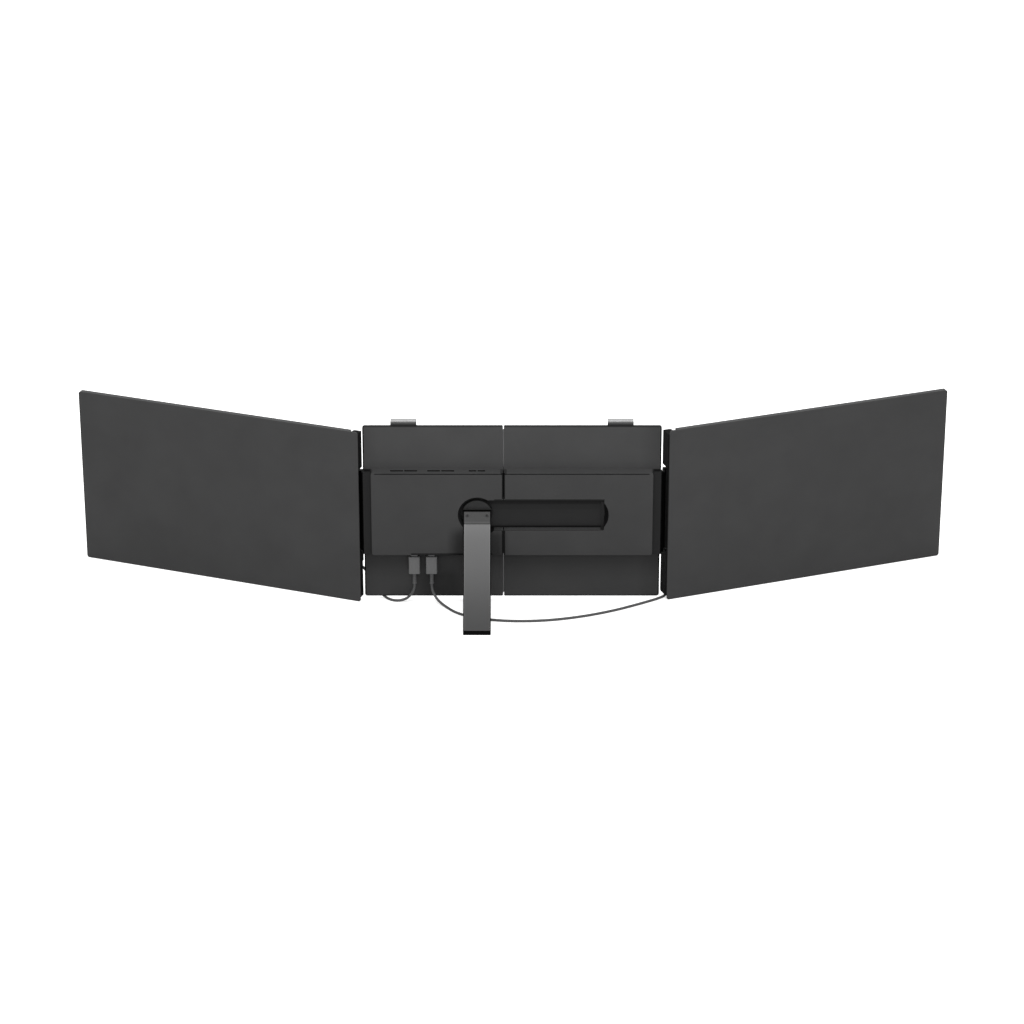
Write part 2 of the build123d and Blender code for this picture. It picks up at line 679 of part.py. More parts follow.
def tongue(side, grow=0.0):
    """The part of a hinge arm that is screwed down inside the band."""
    inner = side * (BAND_HALF - TONGUE_LENGTH)
    low = BAND_BOTTOM + TONGUE_INSET - grow
    high = BAND_TOP - TONGUE_INSET + grow
    front = PLATE_BACK
    return block(inner, side * (BAND_HALF + 1), front - TONGUE_THICK - grow, front, low, high)


def hinge_arm(side):
    """The black arm at the band's end, with the knuckle that the screen turns on."""
    low = BAND_BOTTOM
    high = BAND_TOP
    out = BAND_HALF + ARM_WIDTH
    arm = block(side * BAND_HALF, side * out, ARM_BACK, ARM_FRONT, low, high)
    arm = fillet(edges_at(arm, Axis.Z, x=side * out, y=ARM_BACK), LEG_EDGE)
    arm += block(side * BAND_HALF, side * (PLATE_HALF - ARM_END_GAP), ARM_FRONT, PLATE_BACK, low, high)
    arm += tongue(side)
    low += KNUCKLE_INSET
    high -= KNUCKLE_INSET
    axis_x = AXIS_X[side]
    axis_y = AXIS_Y[side]
    web = WEB_INNER[side]
    arm += block(side * web, side * axis_x, axis_y - WEB_BACK, axis_y + WEB_FORE, low, high)
    web_outer = web + WEB_THICK[side]
    arm += block(side * web, side * web_outer, ARM_FRONT, axis_y, low, high)
    arm += block(side * BAND_HALF, side * web_outer, ARM_FRONT - ARM_LEDGE, ARM_FRONT, low, high)
    arm += rod_z(side * axis_x, axis_y, low, high, KNUCKLE_RADIUS)
    arm -= rod_z(side * axis_x, axis_y, low, high, PIN_RADIUS + BUSH_WALL + SEAT_FIT)
    for x, z in screw_places(side)[1]:
        arm -= rod_y(x, z, PLATE_BACK - TONGUE_THICK, PLATE_BACK, SCREW_RADIUS + SEAT_FIT)
    inner = side * (BAND_HALF + ARM_POCKET_WALL)
    outer = side * (PLATE_HALF - ARM_POCKET_WALL)
    pocket = (ARM_BACK + 2 * ARM_POCKET_WALL, PLATE_BACK - ARM_POCKET_WALL / 2)
    return arm - block(inner, outer, *pocket, BAND_TOP - ARM_POCKET_DEEP, BAND_TOP)


def hinge_bushes(side):
    """Bronze sleeves at the two ends of a knuckle, which grip the pin."""
    low = BAND_BOTTOM + KNUCKLE_INSET
    high = BAND_TOP - KNUCKLE_INSET
    sleeves = []
    for start in (low, high - BUSH_LENGTH):
        place = (side * AXIS_X[side], AXIS_Y[side], start, start + BUSH_LENGTH)
        sleeves.append(rod_z(*place, PIN_RADIUS + BUSH_WALL) - rod_z(*place, PIN_RADIUS + RUNNING_FIT))
    return Compound(children=sleeves)


def bridge_plate():
    """A thin plate inside both halves, which closes the gap when they part."""
    middle = (CAVITY_BACK + CAVITY_FRONT) / 2
    half = BRIDGE_THICK / 2
    low = PLATE_BOTTOM + BRIDGE_INSET
    high = PLATE_TOP - BRIDGE_INSET
    plate = block(BRIDGE_LEFT, BRIDGE_RIGHT, middle - half, middle + half, low, high)
    return plate + block(BRIDGE_LEFT, RAIL_FOOT_END, CAVITY_BACK, middle, low, high)


def slide_rails():
    """Two bars that the right half slides on, fixed behind the left half's skin."""
    back = PLATE_BACK - RAIL_GAP - RAIL_THICK
    half = RAIL_HEIGHT / 2
    stop = GUIDE_LEFT + STOP_IN
    play = STOP_RADIUS + BUTTON_GAP
    rails = []
    for z in RAIL_Z:
        rail = block(RAIL_LEFT, RAIL_RIGHT, back, PLATE_BACK - RAIL_GAP, z - half, z + half)
        rail += block(RAIL_LEFT, RAIL_FOOT_END, back, PLATE_BACK, z - half, z + half)
        track = rod_y(stop, z, back, PLATE_BACK, play) + rod_y(stop + SLIDE_TRAVEL, z, back, PLATE_BACK, play)
        track += block(stop, stop + SLIDE_TRAVEL, back, PLATE_BACK, z - play, z + play)
        rails.append(rail - track)
    return Compound(children=rails)


def slide_guides():
    """Channels on the right half's rear skin, each with a stop pin for its rail."""
    back = PLATE_BACK - RAIL_GAP - RAIL_THICK - RAIL_FIT
    half = RAIL_HEIGHT / 2 + RAIL_FIT
    right = GUIDE_LEFT + GUIDE_LENGTH
    guides = []
    for z in RAIL_Z:
        outer = half + GUIDE_WALL
        guide = block(GUIDE_LEFT, right, back - GUIDE_WALL, PLATE_BACK, z - outer, z + outer)
        guide -= block(GUIDE_LEFT, right, back, PLATE_BACK, z - half, z + half)
        guide += rod_y(GUIDE_LEFT + STOP_IN, z, back, PLATE_BACK - RAIL_GAP, STOP_RADIUS)
        guides.append(guide)
    return Compound(children=guides)


def hook_profile():
    """The clip's head from the side, as a hook over a lid's edge."""
    back = PLATE_BACK + HOOK_BACK
    top = PLATE_TOP + CLIP_TOP
    bottom = PLATE_TOP + CLIP_GAP
    front = LID_GAP + LIP_THICK
    return Polyline(
        (back, bottom),
        (back, top),
        (front, top),
        (front, PLATE_TOP - LIP_DROP),
        (LID_GAP, PLATE_TOP - LIP_DROP),
        (LID_GAP, bottom + 1),
        (CAVITY_FRONT, bottom + 1),
        (CAVITY_FRONT, bottom),
        close=True,
    )


def clip(side):
    """A sliding clip: hook, flat shank between the skins, and the spring's tail."""
    face = Plane.YZ * make_face(hook_profile())
    middle = side * CLIP_X
    hook = Pos(middle - CLIP_WIDTH / 2, 0, 0) * extrude(face, CLIP_WIDTH)
    hook = fillet(edges_at(hook, Axis.X, y=PLATE_BACK + HOOK_BACK, z=PLATE_TOP + CLIP_TOP), HOOK_ROUND)
    hook = fillet(edges_at(hook, Axis.X, y=LID_GAP + LIP_THICK, z=PLATE_TOP + CLIP_TOP), LIP_THICK / 2)
    half = SHANK_WIDTH / 2
    centre = (CAVITY_BACK + CAVITY_FRONT) / 2
    back = centre - SHANK_THICK / 2
    front = centre + SHANK_THICK / 2
    hook += block(middle - half, middle + half, back, front, TAIL_Z, PLATE_TOP + CLIP_GAP + 1)
    tail = TAIL_WIDTH / 2
    reach = PLATE_BACK - TAIL_REACH + SHANK_THICK
    hook += block(middle - tail, middle + tail, reach, back, TAIL_Z, TAIL_Z + TAIL_HEIGHT)
    return hook - rod_z(middle, spring_y(), TAIL_Z, TAIL_Z + TAIL_HEIGHT, SPRING_WIRE + SEAT_FIT)


def clip_spring(side):
    """A drawn coil with a straight leg at each end, which pulls the clip down."""
    low = SPRING_FOOT + TAIL_HEIGHT + SPRING_LEG
    high = TAIL_Z - SPRING_LEG
    pitch = (high - low) / SPRING_TURNS
    coil = Helix(pitch, high - low, SPRING_RADIUS)
    start = coil @ 0
    section = Plane(origin=start, z_dir=coil % 0) * Circle(SPRING_WIRE)
    spring = Pos(0, 0, low) * sweep(section, path=coil, is_frenet=True)
    for foot, top in ((SPRING_FOOT + 1, low + 0.2), (high - 0.2, TAIL_Z + TAIL_HEIGHT - 1)):
        spring += rod_z(0, 0, foot, top, SPRING_WIRE)
    for z in (low, high):
        spring += Pos(0, 0, z) * Rot(Y=90) * Pos(0, 0, SPRING_RADIUS / 2) * Cylinder(
            SPRING_WIRE, SPRING_RADIUS
        )
    return Pos(side * CLIP_X, spring_y(), 0) * spring


def hub_disc():
    """The round plate at the bottom of the dish, and the shaft behind it."""
    face = TRAY_FACE - RUNNING_FIT
    disc = rod_y(HUB_X, HUB_Z, face - HUB_THICK, face, HUB_RADIUS)
    disc += hub_cap(face)
    disc += rod_y(HUB_X, HUB_Z, face, TRAY_BACKSIDE + RUNNING_FIT + WASHER_HEIGHT, SHAFT_RADIUS)
    for x in bracket_screw_places():
        disc -= rod_y(x, HUB_Z, face - HUB_THICK, face, SCREW_RADIUS + SEAT_FIT)
    end = TRAY_BACKSIDE + RUNNING_FIT + WASHER_HEIGHT
    return disc - rod_y(HUB_X, HUB_Z, face, end, BOLT_RADIUS + SEAT_FIT)


def hub_cap(face):
    """The raised part of the hub above the bracket."""
    top = BAND_BACK + HUB_CAP_SUNK
    cap = rod_y(HUB_X, HUB_Z, top, face, HUB_RADIUS)
    low = HUB_Z + BRACKET_TOP + HUB_CAP_GAP
    cap &= block(HUB_X - HUB_RADIUS, HUB_X + HUB_RADIUS, top, face, low, HUB_Z + HUB_RADIUS)
    return fillet(cap.faces().sort_by(Axis.Y)[0].edges(), EDGE_ROUND)


def bracket_screw_places():
    """The x of the two screws in the stand's bracket."""
    return [HUB_X - BRACKET_SCREW_SPACING / 2, HUB_X + BRACKET_SCREW_SPACING / 2]


def hub_washer():
    """A dished spring washer, which presses the hub against the tray."""
    front = TRAY_BACKSIDE + RUNNING_FIT
    inner = SHAFT_RADIUS + SEAT_FIT
    profile = Polyline(
        (inner, front + WASHER_HEIGHT - WASHER_THICK),
        (WASHER_RADIUS, front),
        (WASHER_RADIUS, front + WASHER_THICK),
        (inner, front + WASHER_HEIGHT),
        close=True,
    )
    ring = revolve(make_face(profile), Axis.Y)
    return Pos(HUB_X, 0, HUB_Z) * ring


def hub_bolt():
    """The flanged bolt that holds the hub and its washer."""
    seat = TRAY_BACKSIDE + RUNNING_FIT + WASHER_HEIGHT
    bolt = rod_y(HUB_X, HUB_Z, seat, seat + SCREW_HEAD + 0.4, WASHER_RADIUS - 1)
    return bolt + rod_y(HUB_X, HUB_Z, TRAY_FACE, seat, BOLT_RADIUS)


def stand_bracket():
    """The block on the hub that carries the leg's pin on a hidden knuckle."""
    half = LEG_WIDTH / 2
    foot = TRAY_FACE - RUNNING_FIT - HUB_THICK
    reach = LEG_THICK / 2 + BRACKET_CLEAR
    low = PIN_Z + reach / 2
    body = block(HUB_X - half, HUB_X + half, LEG_FACE, foot, low, HUB_Z + BRACKET_TOP)
    body = fillet(edges_at(body, Axis.X, y=LEG_FACE, z=HUB_Z + BRACKET_TOP), LEG_EDGE)
    for x in (HUB_X - half, HUB_X + half):
        body = fillet(edges_at(body, Axis.Z, x=x, y=LEG_FACE), LEG_EDGE)
    body -= rod_x(PIN_Y, PIN_Z, HUB_X - half, HUB_X + half, reach)
    web = LEG_WEB / 2
    knuckle = (HUB_X - KNUCKLE_HALF, HUB_X + KNUCKLE_HALF)
    body += block(*knuckle, PIN_Y - web, PIN_Y + web, PIN_Z, PIN_Z + reach + 1)
    body += rod_x(PIN_Y, PIN_Z, *knuckle, LEG_KNUCKLE)
    body -= rod_x(PIN_Y, PIN_Z, *knuckle, LEG_PIN_RADIUS + SEAT_FIT)
    for x in bracket_screw_places():
        body -= rod_y(x, HUB_Z, LEG_FACE, foot, SCREW_RADIUS + SEAT_FIT)
        body -= rod_y(x, HUB_Z, LEG_FACE, LEG_FACE + 2 * SCREW_HEAD, SCREW_HEAD_RADIUS + SEAT_FIT)
    return body


def bracket_screws():
    """Two screws that hold the bracket to the hub, sunk a little."""
    screws = []
    for x in bracket_screw_places():
        top = LEG_FACE + SCREW_HEAD
        piece = rod_y(x, HUB_Z, top, LEG_FACE + 2 * SCREW_HEAD, SCREW_HEAD_RADIUS)
        piece += rod_y(x, HUB_Z, LEG_FACE + 2 * SCREW_HEAD, TRAY_FACE - RUNNING_FIT, SCREW_RADIUS)
        screws.append(piece - rod_y(x, HUB_Z, top, top + SCREW_HEAD / 2, SCREW_RADIUS / 2))
    return Compound(children=screws)


def leg_pin():
    """The cross pin that the leg swings on."""
    half = LEG_WIDTH / 2 - 0.5
    return rod_x(PIN_Y, PIN_Z, HUB_X - half, HUB_X + half, LEG_PIN_RADIUS)


def leg_swung(solid):
    """Turns a leg piece, built hanging from the pin at the origin, to its place."""
    return Pos(HUB_X, PIN_Y, PIN_Z) * Rot(X=-STAND_ANGLE) * solid


def leg_outline(lift):
    """The leg from the side, down to a cut that lies level when the stand is open."""
    half = LEG_THICK / 2
    slope = math.tan(math.radians(STAND_ANGLE))
    length = (PIN_Z - lift) / math.cos(math.radians(STAND_ANGLE))
    outer = -half
    drop = length - half * slope
    return Polyline(
        (outer, 0),
        (half, 0),
        (half, -drop),
        (outer, -(length + half * slope)),
        close=True,
    )


def leg_solid(lift):
    """The whole leg down to a given height above the table."""
    face = Plane.YZ * make_face(leg_outline(lift))
    half = LEG_WIDTH / 2
    solid = Pos(-half, 0, 0) * extrude(face, LEG_WIDTH)
    return solid


def foot_lift():
    """How far the sole lies below the joint between leg and foot."""
    return FOOT_LENGTH * math.cos(math.radians(STAND_ANGLE))


def stand_leg():
    """The leg, with a round top that nests in the bracket."""
    half = LEG_WIDTH / 2
    leg = leg_solid(foot_lift())
    for x in (-half, half):
        for y in (-LEG_THICK / 2, LEG_THICK / 2):
            leg = fillet(edges_at(leg, Axis.Z, x=x, y=y), LEG_EDGE)
    leg += rod_x(0, 0, -half, half, LEG_THICK / 2)
    inside = KNUCKLE_HALF + CLIP_GAP
    leg -= rod_x(0, 0, -inside, inside, LEG_KNUCKLE + BUTTON_GAP)
    leg -= web_room(inside)
    leg -= rod_x(0, 0, -half, half, LEG_PIN_RADIUS + RUNNING_FIT)
    return leg_swung(leg)


def web_room(inside):
    """The sector of the leg's round top that the bracket's web passes through."""
    web = LEG_WEB / 2 + BUTTON_GAP
    reach = LEG_THICK
    room = block(-inside, inside, -web, web, 0, reach)
    widest = STAND_ANGLE + LEG_SWING_OUT + 2
    steps = 6
    for step in range(1, steps + 1):
        room += Rot(X=widest * step / steps) * block(-inside, inside, -web, web, 0, reach)
    return room


def stand_foot():
    """The rubber foot, whose sole lies flat on the table."""
    foot = leg_solid(0) - leg_solid(foot_lift())
    half = LEG_WIDTH / 2
    for x in (-half, half):
        for y in (-LEG_THICK / 2, LEG_THICK / 2):
            foot = fillet(edges_at(foot, Axis.Z, x=x, y=y), LEG_EDGE)
    return leg_swung(foot)


def screen_place(side, solid):
    """Puts a screen piece, built flat with u, v as x, y, on its hinge at rest."""
    moved = Pos(-AXIS_IN[side], -AXIS_DEPTH[side], 0) * solid
    moved = Rot(Z=SWING) * moved
    if side < 0:
        moved = mirror(moved, Plane.YZ)
    return Pos(side * AXIS_X[side], AXIS_Y[side], 0) * moved


def screen_slab(u0, v0, v1):
    """A screen-sized plate with its outer corners rounded."""
    slab = block(u0, SCREEN_WIDTH, v0, v1, 0, SCREEN_HEIGHT)
    return fillet(edges_at(slab, Axis.Y, x=SCREEN_WIDTH), SCREEN_CORNER)


def screen_cover(side):
    """The back cover: a skin that runs to the hinge side, and walls at its edges."""
    wall_top = SCREEN_THICK - FRAME_THICK
    cover = screen_slab(COVER_START[side], 0, wall_top)
    cover = fillet(edges_at(cover, Axis.Y, x=COVER_START[side]), SCREEN_CORNER)
    cover = fillet(cover.faces().sort_by(Axis.Y)[0].edges(), COVER_EDGE)
    cover -= block(0, SPINE_WIDTH, COVER_SKIN, wall_top, 0, SCREEN_HEIGHT)
    cover -= block(
        SPINE_WIDTH,
        SCREEN_WIDTH - COVER_WALL,
        COVER_SKIN,
        wall_top,
        COVER_WALL,
        SCREEN_HEIGHT - COVER_WALL,
    )
    return cover - button_solid(BUTTON_GAP, SCREEN_WIDTH - COVER_WALL - 1)


def screen_window(v0, v1, grow):
    """The picture's outline as a solid, grown by a margin."""
    right = SCREEN_WIDTH - (SCREEN_WIDTH - SPINE_WIDTH - ACTIVE_WIDTH) / 2
    left = right - ACTIVE_WIDTH
    return block(left - grow, right + grow, v0, v1, CHIN - grow, CHIN + ACTIVE_HEIGHT + grow)


def screen_frame():
    """The bezel round the picture."""
    back = SCREEN_THICK - FRAME_THICK
    frame = screen_slab(SPINE_WIDTH, back, SCREEN_THICK)
    frame = fillet(edges_at(frame, Axis.Z, x=SCREEN_WIDTH, y=SCREEN_THICK), EDGE_ROUND)
    return frame - screen_window(back, SCREEN_THICK, GLASS_MARGIN)


def screen_glass():
    """The picture's matt front, let into the bezel."""
    back = SCREEN_THICK - FRAME_THICK
    return screen_window(back, back + GLASS_THICK, GLASS_MARGIN - GLASS_GAP)


def screen_lcd():
    """The liquid crystal module and its backlight."""
    return screen_window(COVER_SKIN, SCREEN_THICK - FRAME_THICK, 1.2)


def screen_board():
    """The driver board under the picture, with its chips."""
    left = (SCREEN_WIDTH - BOARD_LENGTH) / 2
    bottom = COVER_WALL + 1
    back = COVER_SKIN
    board = block(left, left + BOARD_LENGTH, back, back + BOARD_THICK, bottom, bottom + BOARD_HEIGHT)
    for share in (0.15, 0.42, 0.7):
        u = left + share * BOARD_LENGTH
        chip = BOARD_HEIGHT - 3
        board += block(u, u + chip, back, back + 2 * BOARD_THICK, bottom + 1.5, bottom + 1.5 + chip)
    return board


def spine_block(front, inset, z0, z1):
    """The spine's outline, drawn in from its faces, with round front corners."""
    solid = block(inset, SPINE_WIDTH - inset, COVER_SKIN + inset, front - inset, z0, z1)
    for u, outer in ((inset, SPINE_INNER_ROUND), (SPINE_WIDTH - inset, SPINE_ROUND)):
        radius = max(outer - inset, EDGE_ROUND)
        solid = fillet(edges_at(solid, Axis.Z, x=u, y=front - inset), radius)
    return solid


def spine(side):
    """The hinge housing along a screen's inner edge: two towers and a thin strip."""
    depth = SPINE_DEPTH[side]
    low_depth = SPINE_LOW_DEPTH[side]
    top = SCREEN_HEIGHT - SPINE_DROP[side]
    body = spine_block(depth, 0, GROMMET_Z, top)
    body = fillet(body.faces().sort_by(Axis.Z)[-1].edges(), EDGE_ROUND)
    body += spine_block(low_depth, 0, SPINE_RAISE, GROMMET_Z)
    strip = COVER_SKIN + SPINE_STRIP
    body -= block(-1, SPINE_WIDTH + 1, strip, depth + 1, NOTCH_BOTTOM, NOTCH_TOP)
    hollow_top = GROMMET_Z - SPINE_WALL / 2
    body -= spine_block(low_depth, SPINE_WALL, SPINE_RAISE + SPINE_WALL, hollow_top)
    body -= spine_block(depth, SPINE_WALL, NOTCH_TOP + PIN_GRIP + PIN_FLOOR, top - SPINE_WALL)
    axis = (AXIS_IN[side], AXIS_DEPTH[side])
    grip = (NOTCH_BOTTOM - PIN_GRIP, NOTCH_TOP + PIN_GRIP)
    body -= rod_z(*axis, *grip, PIN_RADIUS + SEAT_FIT)
    if side > 0:
        return body - rod_z(*axis, SPINE_RAISE, SPINE_RAISE + SPINE_WALL, GROMMET_NECK + SEAT_FIT)
    seat = (GROMMET_Z, GROMMET_Z + GROMMET_HEIGHT)
    return body - rod_z(GROMMET_U, GROMMET_V, *seat, GROMMET_RADIUS + SEAT_FIT)


def hinge_pin(side):
    """The steel pin, fixed in both towers of the spine."""
    axis = (AXIS_IN[side], AXIS_DEPTH[side])
    return rod_z(*axis, NOTCH_BOTTOM - PIN_GRIP, NOTCH_TOP + PIN_GRIP, PIN_RADIUS)


def grommet(side):
    """Where a lead goes into its screen: a sleeve in a step in front, or a ring underneath."""
    if side < 0:
        top = GROMMET_Z + GROMMET_HEIGHT
        sleeve = rod_z(GROMMET_U, GROMMET_V, GROMMET_Z, top, GROMMET_RADIUS)
        return fillet(sleeve.faces().sort_by(Axis.Z)[-1].edges(), EDGE_ROUND)
    axis = (AXIS_IN[side], AXIS_DEPTH[side])
    ring = rod_z(*axis, SPINE_RAISE, SPINE_RAISE + SPINE_WALL, GROMMET_NECK)
    ring += rod_z(*axis, SPINE_RAISE - GROMMET_FLANGE_THICK, SPINE_RAISE, GROMMET_FLANGE)
    return ring - rod_z(*axis, 0, SPINE_RAISE + SPINE_WALL, GROMMET_BORE)


def button_solid(grow, inner):
    """The button's cap as a solid, grown all round for its hole."""
    middle = (COVER_SKIN + SCREEN_THICK - FRAME_THICK) / 2
    half = BUTTON_THICK / 2 + grow
    low = BUTTON_Z - BUTTON_HEIGHT / 2 - grow
    high = BUTTON_Z + BUTTON_HEIGHT / 2 + grow
    return block(inner, SCREEN_WIDTH + BUTTON_PROUD, middle - half, middle + half, low, high)


def button():
    """The power button in a screen's outer edge, kept in by a flange."""
    wall = SCREEN_WIDTH - COVER_WALL - BUTTON_GAP
    cap = button_solid(0, wall)
    for z in (BUTTON_Z - BUTTON_HEIGHT / 2, BUTTON_Z + BUTTON_HEIGHT / 2):
        cap = fillet(edges_at(cap, Axis.Y, x=SCREEN_WIDTH + BUTTON_PROUD, z=z), BUTTON_PROUD / 2)
    middle = (COVER_SKIN + SCREEN_THICK - FRAME_THICK) / 2
    half = BUTTON_THICK / 2 + 0.5
    low = BUTTON_Z - BUTTON_HEIGHT / 2 - BUTTON_FLANGE
    high = BUTTON_Z + BUTTON_HEIGHT / 2 + BUTTON_FLANGE
    return cap + block(wall - 0.7, wall, middle - half, middle + half, low, high)


def socket_places():
    """The x of the sockets under the band: two for the screens, one for the laptop."""
    return (PLUG_X[-1], PLUG_X[1], HOST_SOCKET_X)


def usb_socket(x):
    """One receptacle: a thin shell with a contact tongue."""
    top = SOCKET_MOUTH + SOCKET_LENGTH
    shell = slot_z(x, PLUG_Y, SOCKET_MOUTH, top, SOCKET_WIDTH, SOCKET_THICK)
    wide = SOCKET_WIDTH - 2 * SOCKET_WALL
    thick = SOCKET_THICK - 2 * SOCKET_WALL
    shell -= slot_z(x, PLUG_Y, SOCKET_MOUTH, top - 0.8, wide, thick)
    half = TONGUE_WIDTH / 2
    contact = CONTACT_THICK / 2
    return shell + block(
        x - half, x + half, PLUG_Y - contact, PLUG_Y + contact, SOCKET_MOUTH + 2, top - 0.8
    )


def usb_sockets():
    """All receptacles of the main board."""
    return Compound(children=[usb_socket(x) for x in socket_places()])


def main_board():
    """The board behind the sockets, with three chips on its far side."""
    front = BOARD_BACK + BOARD_THICK
    board = block(MAIN_LEFT, MAIN_RIGHT, BOARD_BACK, front, MAIN_BOTTOM, MAIN_TOP)
    for x, z, size in ((-102.0, 80.0, 12.0), (-84.0, 84.0, 9.0), (-92.0, 102.0, 7.0)):
        board += block(x, x + size, BOARD_BACK - BOARD_THICK, BOARD_BACK, z, z + size)
    return board


def plug(side):
    """The moulded grip of a lead's plug."""
    half = PLUG_WIDTH / 2
    deep = PLUG_THICK / 2
    x = PLUG_X[side]
    grip = block(x - half, x + half, PLUG_Y - deep, PLUG_Y + deep, RELIEF_TOP, PLUG_TOP)
    grip = fillet(grip.edges().filter_by(Axis.Z), PLUG_ROUND)
    return fillet(grip.faces().sort_by(Axis.Z)[0].edges(), EDGE_ROUND)


def plug_tip(side):
    """The metal end of a plug, hollow round the socket's tongue."""
    x = PLUG_X[side]
    top = SOCKET_MOUTH + TIP_IN - 0.4
    tip = slot_z(x, PLUG_Y, PLUG_TOP, top, TIP_WIDTH, TIP_THICK)
    return tip - slot_z(x, PLUG_Y, BAND_BOTTOM, top, TONGUE_WIDTH + 0.4, CONTACT_THICK + 0.6)


def strain_relief(side):
    """The ribbed sleeve under a plug, with a bead at its end."""
    x = PLUG_X[side]
    sleeve = rod_z(x, PLUG_Y, LEAD_TOP, RELIEF_TOP, RELIEF_RADIUS)
    bead = rod_z(x, PLUG_Y, LEAD_TOP, LEAD_TOP + RELIEF_BEAD_LENGTH, RELIEF_BEAD)
    return sleeve + fillet(bead.edges(), EDGE_ROUND)


def corner_radii(points):
    """The largest arc for each corner of a route that its two runs leave room for."""
    radii = []
    for before, here, after in zip(points, points[1:], points[2:]):
        come = Vector(*here) - Vector(*before)
        leave = Vector(*after) - Vector(*here)
        turn = math.radians(come.get_angle(leave))
        radii.append(BEND_SHARE * min(come.length, leave.length) / math.tan(turn / 2))
    return radii


def lead(name, points):
    """A lead as straight runs joined by arcs."""
    radii = corner_radii(points)
    path = FilletPolyline(*points, radius=radii)
    start = Vector(*points[0])
    section = Plane(origin=start, z_dir=path % 0) * Circle(LEAD_RADIUS)
    tube = sweep(section, path=path)
    area = math.pi * LEAD_RADIUS**2
    ratio = tube.volume / (area * path.length)
    print(name, "length", round(path.length, 1), "volume ratio", round(ratio, 4))
    print(name, "radii", [round(r, 1) for r in radii])
    return tube


def half_pieces(side):
    """The pieces of one half of the plate and band."""
    name = NAMES[side]
    return {
        f"{name}_rear_shell": rear_shell(side),
        f"{name}_front_plate": front_plate(side),
        f"{name}_band_cover": band_cover(side),
        f"{name}_hinge_arm": hinge_arm(side),
        f"{name}_hinge_bushes": hinge_bushes(side),
        f"{name}_screws": case_screws(side),
        f"{name}_lid_pads": lid_pads(side),
        f"{name}_clip": clip(side),
        f"{name}_clip_spring": clip_spring(side),
    }


def screen_pieces(side):
    """The pieces of one screen, at rest on its hinge."""
    name = NAMES[side]
    flat = {
        f"{name}_screen_cover": screen_cover(side),
        f"{name}_screen_frame": screen_frame(),
        f"{name}_screen_glass": screen_glass(),
        f"{name}_lcd_module": screen_lcd(),
        f"{name}_driver_board": screen_board(),
        f"{name}_spine": spine(side),
        f"{name}_hinge_pin": hinge_pin(side),
        f"{name}_grommet": grommet(side),
        f"{name}_power_button": button(),
    }
    return {node: screen_place(side, solid) for node, solid in flat.items()}


def middle_pieces():
    """What the left half holds for both: rails, stand and electronics."""
    return {
        "bridge_plate": bridge_plate(),
        "slide_rails": slide_rails(),
        "slide_guides": slide_guides(),
        "stand_tray": stand_tray(),
        "slot_floor": slot_floor(),
        "hub_disc": hub_disc(),
        "hub_washer": hub_washer(),
        "hub_bolt": hub_bolt(),
        "stand_bracket": stand_bracket(),
        "bracket_screws": bracket_screws(),
        "leg_pin": leg_pin(),
        "stand_leg": stand_leg(),
        "stand_foot": stand_foot(),
        "main_board": main_board(),
        "usb_sockets": usb_sockets(),
    }


def lead_pieces(side, points):
    """One lead with its plug."""
    name = NAMES[side]
    return {
        f"{name}_plug": plug(side),
        f"{name}_plug_tip": plug_tip(side),
        f"{name}_strain_relief": strain_relief(side),
        f"{name}_lead": lead(f"{name}_lead", points),
    }


def ground_centre(nodes):
    """The point on the table under the middle of the given pieces' box."""
    boxes = [solid.bounding_box() for solid in nodes.values()]
    low_x = min(box.min.X for box in boxes)
    high_x = max(box.max.X for box in boxes)
    low_y = min(box.min.Y for box in boxes)
    high_y = max(box.max.Y for box in boxes)
    return Vector((low_x + high_x) / 2, (low_y + high_y) / 2, 0)


own = {**half_pieces(-1), **half_pieces(1), **screen_pieces(-1), **screen_pieces(1), **middle_pieces()}
leads = {**lead_pieces(-1, LEFT_LEAD), **lead_pieces(1, RIGHT_LEAD)}
CENTRE = ground_centre(own)
print("origin in the design frame", CENTRE)

os.makedirs("parts", exist_ok=True)
for node, solid in {**own, **leads}.items():
    export_step(Pos(-CENTRE.X, -CENTRE.Y, 0) * solid, f"parts/{node}.step")
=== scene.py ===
import bmesh
import bpy
import json
import math
from mathutils import Matrix, Vector

